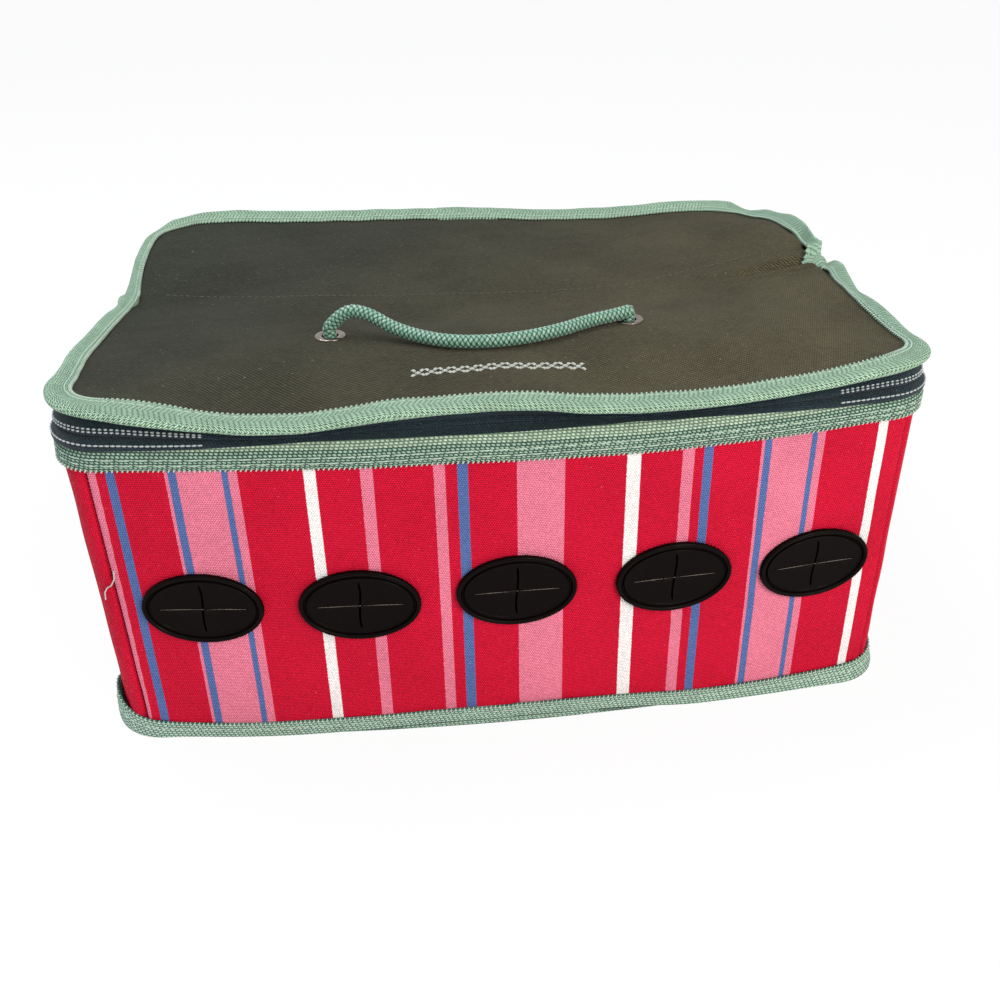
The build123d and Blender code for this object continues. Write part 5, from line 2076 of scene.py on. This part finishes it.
@dataclass
class Lid:
    """The soft lid: twill over boards, lined, bound with webbing and folding in two.

    Attributes:
        low: The height of its underside, top that of its webbing and fabric_top that of its twill.
        board_gap: The gap from each board to the fold.
        twill_inset: How far the twill and the lining end inside the outline.
        twill_area: Area of the twill as a share of the rectangle round it.
        thread_at: Where the webbing's stitches run, as a share of its path.
    """

    plan: Plan
    drape: Drape
    fold_y: float
    eyelets: tuple[Row, ...]
    low: float
    top: float
    fabric_top: float
    fabric: float = 0.9 * MM
    lining: float = 0.5 * MM
    board: float = 1.4 * MM
    board_gap: float = 6.0 * MM
    binding: float = 9.5 * MM
    twill_inset: float = 7.0 * MM
    thread_at: float = 0.055
    twill_area: float = 0.97

    def layer(
        self, name: str, height: float, hole: float, facing: Facing, thickness: float, *nodes: str
    ) -> None:
        """Make a layer of the lid that hangs as the drape does, with holes for the eyelets.

        Args:
            name: The piece's name.
            height: Its height where the lid is flat.
            hole: Radius of the holes.
            facing: UP for the twill and DOWN for the lining.
            thickness: How thick it is.
            nodes: The CAD nodes that it replaces.
        """
        flat = self.plan.filled(self.twill_inset, 216, 170)
        x, y, keep = opened(flat[..., 0], flat[..., 1], self.eyelets, (hole, hole), 0.3)
        points = np.stack([x, y, height + self.drape.fall(x, y)], axis=-1)
        finish = TWILL if facing is Facing.UP else LINING
        piece = Skin().grid(points, x, y, facing, keep=keep).make(name, finish)
        thicken(piece, thickness)
        settle(piece, "", *nodes)
        fold_over(piece)

    def boards(self) -> None:
        """Make the two boards, each cut off straight beside the fold."""
        height = sum(corner.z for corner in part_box("lid_front_board")) / 2
        for half, sign in (("rear", 1), ("front", -1)):
            flat = self.plan.filled(4 * MM, 120, 94)
            x, y = flat[..., 0], flat[..., 1]
            line = self.fold_y + sign * self.board_gap
            beyond = sign * (y - line) > 0
            keep = (beyond[:-1, :-1] | beyond[1:, 1:]) & (beyond[1:, :-1] | beyond[:-1, 1:])
            y = np.where(beyond, y, line)
            points = np.stack([x, y, height + 0.8 * MM + self.drape.fall(x, y)], axis=-1)
            board = Skin().grid(points, x, y, Facing.UP, keep=keep).make(f"{half}_stiffener", BOARD)
            thicken(board, self.board)
            settle(board, f"lid_{half}", f"lid_{half}_board")

    def edge_path(self, place: Array) -> Array:
        """The binding's line: out over the top, round the edge and back in underneath.

        It hangs with the drape, lies along the sides as LEFT_LIE, RIGHT_LIE and FRONT_LIE
        say, tilts up along the back and is hollow behind the fold's right hand end.

        Args:
            place: Places along the outline.

        Returns:
            The insets and heights of the line at each place.
        """
        top, low = self.top / MM - 0.55, self.low / MM + 0.75
        line = arc_path(
            [(9.4, top - 0.15), (6.5, top + 0.1), (3.6, top + 0.2), (1.4, top), (0.4, top - 0.8),
             (0.4, low + 2.5), (1.4, low + 1.5), (5, low + 0.9), (9.2, low + 0.45)], 4
        )
        path = np.repeat(line[None], len(place), axis=0)
        x, y = self.plan.at(place).T
        outer = 1 - np.clip(path[..., 0] / self.binding, 0, 1)
        under = path[..., 1] < self.low + 2 * MM
        for lie, at, share in (
            (LEFT_LIE, y, smooth(-x, 135 * MM, 165 * MM)),
            (RIGHT_LIE, y, smooth(x, 135 * MM, 165 * MM)),
            (FRONT_LIE, x, smooth(-y, 100 * MM, 125 * MM)),
        ):
            path += lie.shift(at, outer) * share[:, None, None]
        path[..., 0] += 0.3 * MM * ripple(place, 0 * place, 55 * MM, 33)[:, None] * (outer > 0.5)
        rise = 3.8 * MM * smooth(y, 114 * MM, 130 * MM) * (1 - smooth(np.abs(x), 160 * MM, 173 * MM))
        hollow = 4.4 * MM * smooth(x, 135 * MM, 165 * MM) * bell(y, 37 * MM, 12 * MM)
        path[..., 1] += rise[:, None] * outer - hollow[:, None] * np.sin(pi * outer)
        x, y = np.moveaxis(self.plan.at(place[:, None], path[..., 0]), -1, 0)
        fall = self.drape.fall(x, y)
        path[..., 1] += fall - 0.15 * np.minimum(fall, 0) * under
        return path

    def edge(self) -> None:
        """Make the binding with its thread, and the lap where its ends meet at the back."""
        strip = Webbing(self.plan, outer=-1)
        strip.bind(self.edge_path, (0.0, 1.0), (self.thread_at,))
        for piece in strip.made("lid_webbing", "", "lid_rear_binding", "lid_front_binding"):
            fold_over(piece)
        centre = np.array([6.5 * MM, (self.top + self.low) / 2])

        def lap_path(place: Array) -> Array:
            """The binding's line, moved out from its middle."""
            path = self.edge_path(place)
            return path + unit(path - centre) * 0.95 * MM

        middle = self.plan.length / 2
        lap = Webbing(self.plan, outer=-1)
        lap.strip(lap_path, middle - 22 * MM, middle + 12 * MM)
        lap.stitches(lap_path, self.thread_at, middle - 21 * MM, middle + 11 * MM)
        lap.made("lid_webbing_lap", "lid_rear")

    def crease_stitches(self) -> None:
        """Sew the row of stitches that holds the fabric along its rear crease."""
        x = np.arange(-152, 153, 3.4) * MM
        y = glide(x, self.drape.across, self.drape.upper) + 1.5 * MM
        line = np.stack([x, y, self.fabric_top + self.drape.fall(x, y)], axis=1)
        middles, axes = frames_along(line, UPRIGHT)
        row = Skin().stamp(stitch(2.3 * MM, 0.22 * MM, 0.2 * MM), middles, axes)
        thread = row.make("crease_stitching", TWILL_THREAD)
        settle(thread, "")
        fold_over(thread)

    def zigzag(self) -> None:
        """Sew two zigzags of three stitches a side across the front, crossed as diamonds.

        A zigzag's height is 1 - 2 |row mod 2 - 1| times half of its full height.
        """
        pitch, height, count = 5.2 * MM, 5.6 * MM, 13
        middle_x, middle_y = -1 * MM, -101.5 * MM
        stitches = 3
        row = np.arange(count * stitches + 1) / stitches
        thread = Skin()
        for side in (-1, 1):
            x = middle_x + (row - count / 2) * pitch
            y = middle_y + side * height / 2 * (1 - 2 * np.abs(row % 2 - 1))
            line = np.stack([x, y, self.fabric_top + self.drape.fall(x, y) + 0.05 * MM], axis=1)
            middles, axes = frames_along(line, UPRIGHT)
            for offset in (-0.45 * MM, 0.0, 0.45 * MM):
                thread.stamp(stitch(2.2 * MM, 0.26 * MM, 0.28 * MM), middles + axes[:, 1] * offset, axes)
        settle(thread.make("zigzag_stitching", PALE_THREAD), "lid_front")

    def build(self) -> None:
        """Make the layers, the boards, the binding and the stitching."""
        top, low = self.fabric_top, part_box("lid_front_lining")[0].z + 0.1 * MM
        twill = ("lid_rear_fabric", "lid_front_fabric", "lid_fold_strip")
        lining = ("lid_rear_lining", "lid_front_lining")
        self.layer("lid_twill", top, 4.2 * MM, Facing.UP, self.fabric, *twill)
        self.layer("lid_lining", low, 4.6 * MM, Facing.DOWN, self.lining, *lining)
        self.boards()
        self.edge()
        self.crease_stitches()
        self.zigzag()


@dataclass
class RopeHandle:
    """The braided rope handle, its knots under the lid and its eyelets.

    Attributes:
        route: The rope's route in millimetres, the same points as in the part's source.
        length: Its length between the eyelets.
        around: How many diamonds go round it, two to a row.
        diamond: Length of a diamond along it.
        relief: How far its strands stand out.
    """

    route: tuple[Row, ...] = (
        (-67.0, -59.0, 159.35),
        (-60.5, -59.5, 166.8),
        (-51.0, -62.5, 166.3),
        (-39.0, -69.5, 160.3),
        (-20.0, -80.5, 158.65),
        (3.0, -82.8, 158.65),
        (25.0, -76.0, 158.65),
        (42.0, -65.0, 158.7),
        (52.0, -62.5, 159.1),
        (59.0, -59.0, 159.35),
    )
    radius: float = 2.75 * MM
    length: float = 140.0 * MM
    sides: int = 80
    around: int = 10
    diamond: float = 2.1 * MM
    relief: float = 0.26 * MM
    knot_z: float = 146.2 * MM
    knot_size: float = 1.3 * MM

    def line(self) -> Array:
        """The points of the route's own smooth spline.

        Returns:
            The points, K by 3.
        """
        curve = bpy.data.curves.new("route", "CURVE")
        curve.dimensions = "3D"
        curve.resolution_u = 24
        spline = curve.splines.new("NURBS")
        spline.points.add(len(self.route) - 1)
        for point, place in zip(spline.points, self.route):
            point.co = (*(value * MM for value in place), 1.0)
        spline.order_u = 3
        spline.use_endpoint_u = True
        holder = bpy.data.objects.new("route", curve)
        mesh = bpy.data.meshes.new_from_object(holder)
        points = np.array([vertex.co for vertex in mesh.vertices])
        bpy.data.meshes.remove(mesh)
        bpy.data.objects.remove(holder)
        bpy.data.curves.remove(curve)
        return points

    def braid(self, along: Array, angle: Array) -> Array:
        """The radius of the braid: it swells by the product of two bumps in each diamond.

        The diamonds lie between two sets of helical lines, a = x / d + n t / 4 pi and
        b = x / d - n t / 4 pi, and a bump is 1 - (2 fract - 1)2.

        Args:
            along: The distance of each ring along the rope.
            angle: The angle of each side.

        Returns:
            The radius at each ring and side.
        """
        turns = angle[None] * self.around / (4 * pi)
        first, second = (along[:, None] / self.diamond + sign * turns for sign in (1, -1))
        swell = (1 - (2 * (first % 1) - 1) ** 2) * (1 - (2 * (second % 1) - 1) ** 2)
        return self.radius - self.relief + self.relief * 1.25 * np.sqrt(swell)

    def wrapped(self, angle: Array) -> Array:
        """The texture coordinate round the rope, whose repeat the braid's finish knows."""
        return angle[None] / (2 * pi) * self.around * ROPE.around

    def stretch(self, centres: Array, along: Array, rings: slice, name: str) -> Piece:
        """Make a stretch of the rope from some of its rings.

        Args:
            centres: Ring centres of the whole rope, so that stretches meet.
            along: The distance of each ring along it.
            rings: Which rings this stretch has.
            name: The piece's name.

        Returns:
            The piece.
        """
        angle = np.linspace(0, 2 * pi, self.sides + 1)
        points, angle = tube(centres, self.braid(along, angle), self.sides, np.array([0.0, 1.0, 0.0]))
        points, along = points[rings], along[rings]
        skin = Skin().grid(points, along[:, None], self.wrapped(angle), weld_columns=True, capped=True)
        return skin.make(name, ROPE)

    def knot(self, x: float, y: float, name: str) -> Piece:
        """Tie a knot: a tube along (sin t + 2 sin 2t, cos t - 2 cos 2t, -1.3 sin 3t).

        Args:
            x: Where it is across.
            y: Where it is from front to back.
            name: The piece's name.

        Returns:
            The piece.
        """
        t = np.linspace(0, 2 * pi, 181)
        line = [np.sin(t) + 2 * np.sin(2 * t), np.cos(t) - 2 * np.cos(2 * t), -1.3 * np.sin(3 * t)]
        centres = np.stack(line, axis=1) * self.knot_size + np.array([x, y, self.knot_z])
        ahead = unit(np.roll(centres[:-1], -1, axis=0) - np.roll(centres[:-1], 1, axis=0))
        ahead = np.concatenate([ahead, ahead[:1]])
        out = unit(np.cross(ahead, UPRIGHT))
        up = np.cross(out, ahead)
        angle = np.linspace(0, 2 * pi, 33)
        step = walked(centres)
        step = step * round(step[-1] / self.diamond) * self.diamond / step[-1]
        radius = self.braid(step, angle) * 0.86
        spoke = np.cos(angle)[:, None] * out[:, None] + np.sin(angle)[:, None] * up[:, None]
        points = centres[:, None] + spoke * radius[..., None]
        skin = Skin().grid(points, step[:, None], self.wrapped(angle), weld_rows=True, weld_columns=True)
        return skin.make(name, ROPE)

    def eyelet(self, x: float, y: float, name: str, node: str) -> None:
        """Turn an eyelet: a rolled flange on a short barrel, as a profile turned round its axis.

        Args:
            x: Where it is across.
            y: Where it is from front to back.
            name: The piece's name.
            node: The CAD node that it replaces.
        """
        low, high = (corner.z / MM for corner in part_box(node))
        flange = high - 0.7
        profile = arc_path(
            [(6.4, flange), (6.5, flange + 0.3), (5.9, high), (4.6, high), (3.6, high - 0.15),
             (3.3, high - 1.1), (3.3, low + 1), (3.3, low), (4.1, low), (4.1, flange - 1), (4.1, flange),
             (5.3, flange), (6.4, flange)], 4
        )
        angle = np.linspace(0, 2 * pi, 65)[:, None]
        radius, height = profile.T
        ring = [x + radius * np.cos(angle), y + radius * np.sin(angle), height + 0 * angle]
        along = np.arange(len(profile)) * MM
        points = np.stack(ring, axis=-1)
        skin = Skin().grid(points, angle * 5 * MM, along, weld_rows=True, weld_columns=True)
        settle(skin.make(name, STEEL), "lid_front", node)

    def build(self) -> None:
        """Make the rope from knot to knot, in a stretch that swings and two that bend."""
        swing = spread_evenly(self.line(), 0.42 * MM)
        rise = np.linspace(self.knot_z, swing[0, 2], 34)[:-1]
        left, right = (
            np.stack([0 * rise + swing[end, 0], 0 * rise + swing[end, 1], heights], axis=1)
            for end, heights in ((0, rise), (-1, rise[::-1]))
        )
        centres = np.concatenate([left, swing, right])
        along = walked(centres)
        first, last = len(left), len(left) + len(swing) - 1
        rope = self.stretch(centres, along, slice(first, last + 1), "rope")
        settle(rope, "handle", "handle_rope")
        self.length
        for side, rings in (("left", slice(0, first + 1)), ("right", slice(last, None))):
            root = self.stretch(centres, along, rings, f"rope_root_{side}")
            settle(root, "")
            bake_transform(root)
            x, y = (left if side == "left" else right)[0, :2]
            settle(self.knot(x, y, f"knot_{side}"), "lid_front", f"rope_knot_{side}")
            self.eyelet(x, y, f"rolled_eyelet_{side}", f"eyelet_{side}")
            dress_node(f"eyelet_washer_{side}", STEEL)


@dataclass
class SpoolRack:
    """The rod that the spools hang on, its brackets and their rivets."""

    def build(self) -> None:
        """Give the rigid parts their finishes."""
        dress_node("spool_rod", WOOD)
        for side in ("left", "right"):
            dress_node(f"rod_bracket_{side}", BRACKET)
            dress_node(f"bracket_rivets_{side}", STEEL)


@dataclass
class Organizer:
    """The whole organizer, with the sizes that its parts share, read from the frame."""

    corner: float = 23 * MM
    lid_corner: float = 30 * MM
    front_bow: float = 14 * MM
    back_bow: float = 3 * MM
    slot_half: tuple[float, float] = (24.5 * MM, 16.5 * MM)
    slots: int = 5
    retainer_depth: float = 5 * MM

    def build(self) -> None:
        """Build each part in turn, the camera and the rope first."""
        panel_low, panel_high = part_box("front_panel")
        half_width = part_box("right_panel")[1].x
        box = Plan(half_width, -panel_low.y, self.corner, self.front_bow, self.back_bow)
        edge_low, edge_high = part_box("lid_front_binding")
        rear_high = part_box("lid_rear_binding")[1]
        lid = Plan(edge_high.x, rear_high.y, self.lid_corner, self.front_bow, self.back_bow)
        fold_y = next(joint for joint in frame["joints"] if joint["name"] == "lid_fold")["pos_m"][1]
        eyelets = []
        for side in ("left", "right"):
            low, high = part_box(f"eyelet_{side}")
            eyelets.append(((low.x + high.x) / 2, (low.y + high.y) / 2))
        drape = Drape(tuple(eyelets))
        rim_low, rim_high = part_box("rim_binding")
        Studio().build()
        RopeHandle().build()
        radius = box.bow_radius(-1)
        slots = []
        for index in range(1, self.slots + 1):
            low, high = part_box(f"slot_retainer_{index}")
            x = (low.x + high.x) / 2 * radius / (radius - self.retainer_depth)
            depth = sqrt(radius**2 - x**2)
            normal = np.array([x, -depth, 0.0]) / radius
            origin = np.array([x, radius - depth - box.half_depth, (low.z + high.z) / 2])
            RibbonSlot(index, origin, normal, self.slot_half).build()
            slots.append((radius * float(np.arcsin(x / radius)), origin[2]))
        Walls(box, panel_low.z, panel_high.z, slots, self.slot_half).build()
        Bindings(box, rim_high.z, rim_low.z).build()
        end_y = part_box("lower_zip_tape")[1].y
        Zip(box, drape, end_y, fold_y, rim_high.z, edge_low.z).build()
        fabric_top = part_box("lid_front_fabric")[1].z
        Lid(lid, drape, fold_y, tuple(eyelets), edge_low.z, edge_high.z, fabric_top).build()
        SpoolRack().build()


def main() -> None:
    """Build the organizer."""
    logging.basicConfig(level=logging.INFO, format="%(name)s: %(message)s")
    Organizer().build()


if __name__ == "__main__":
    main()
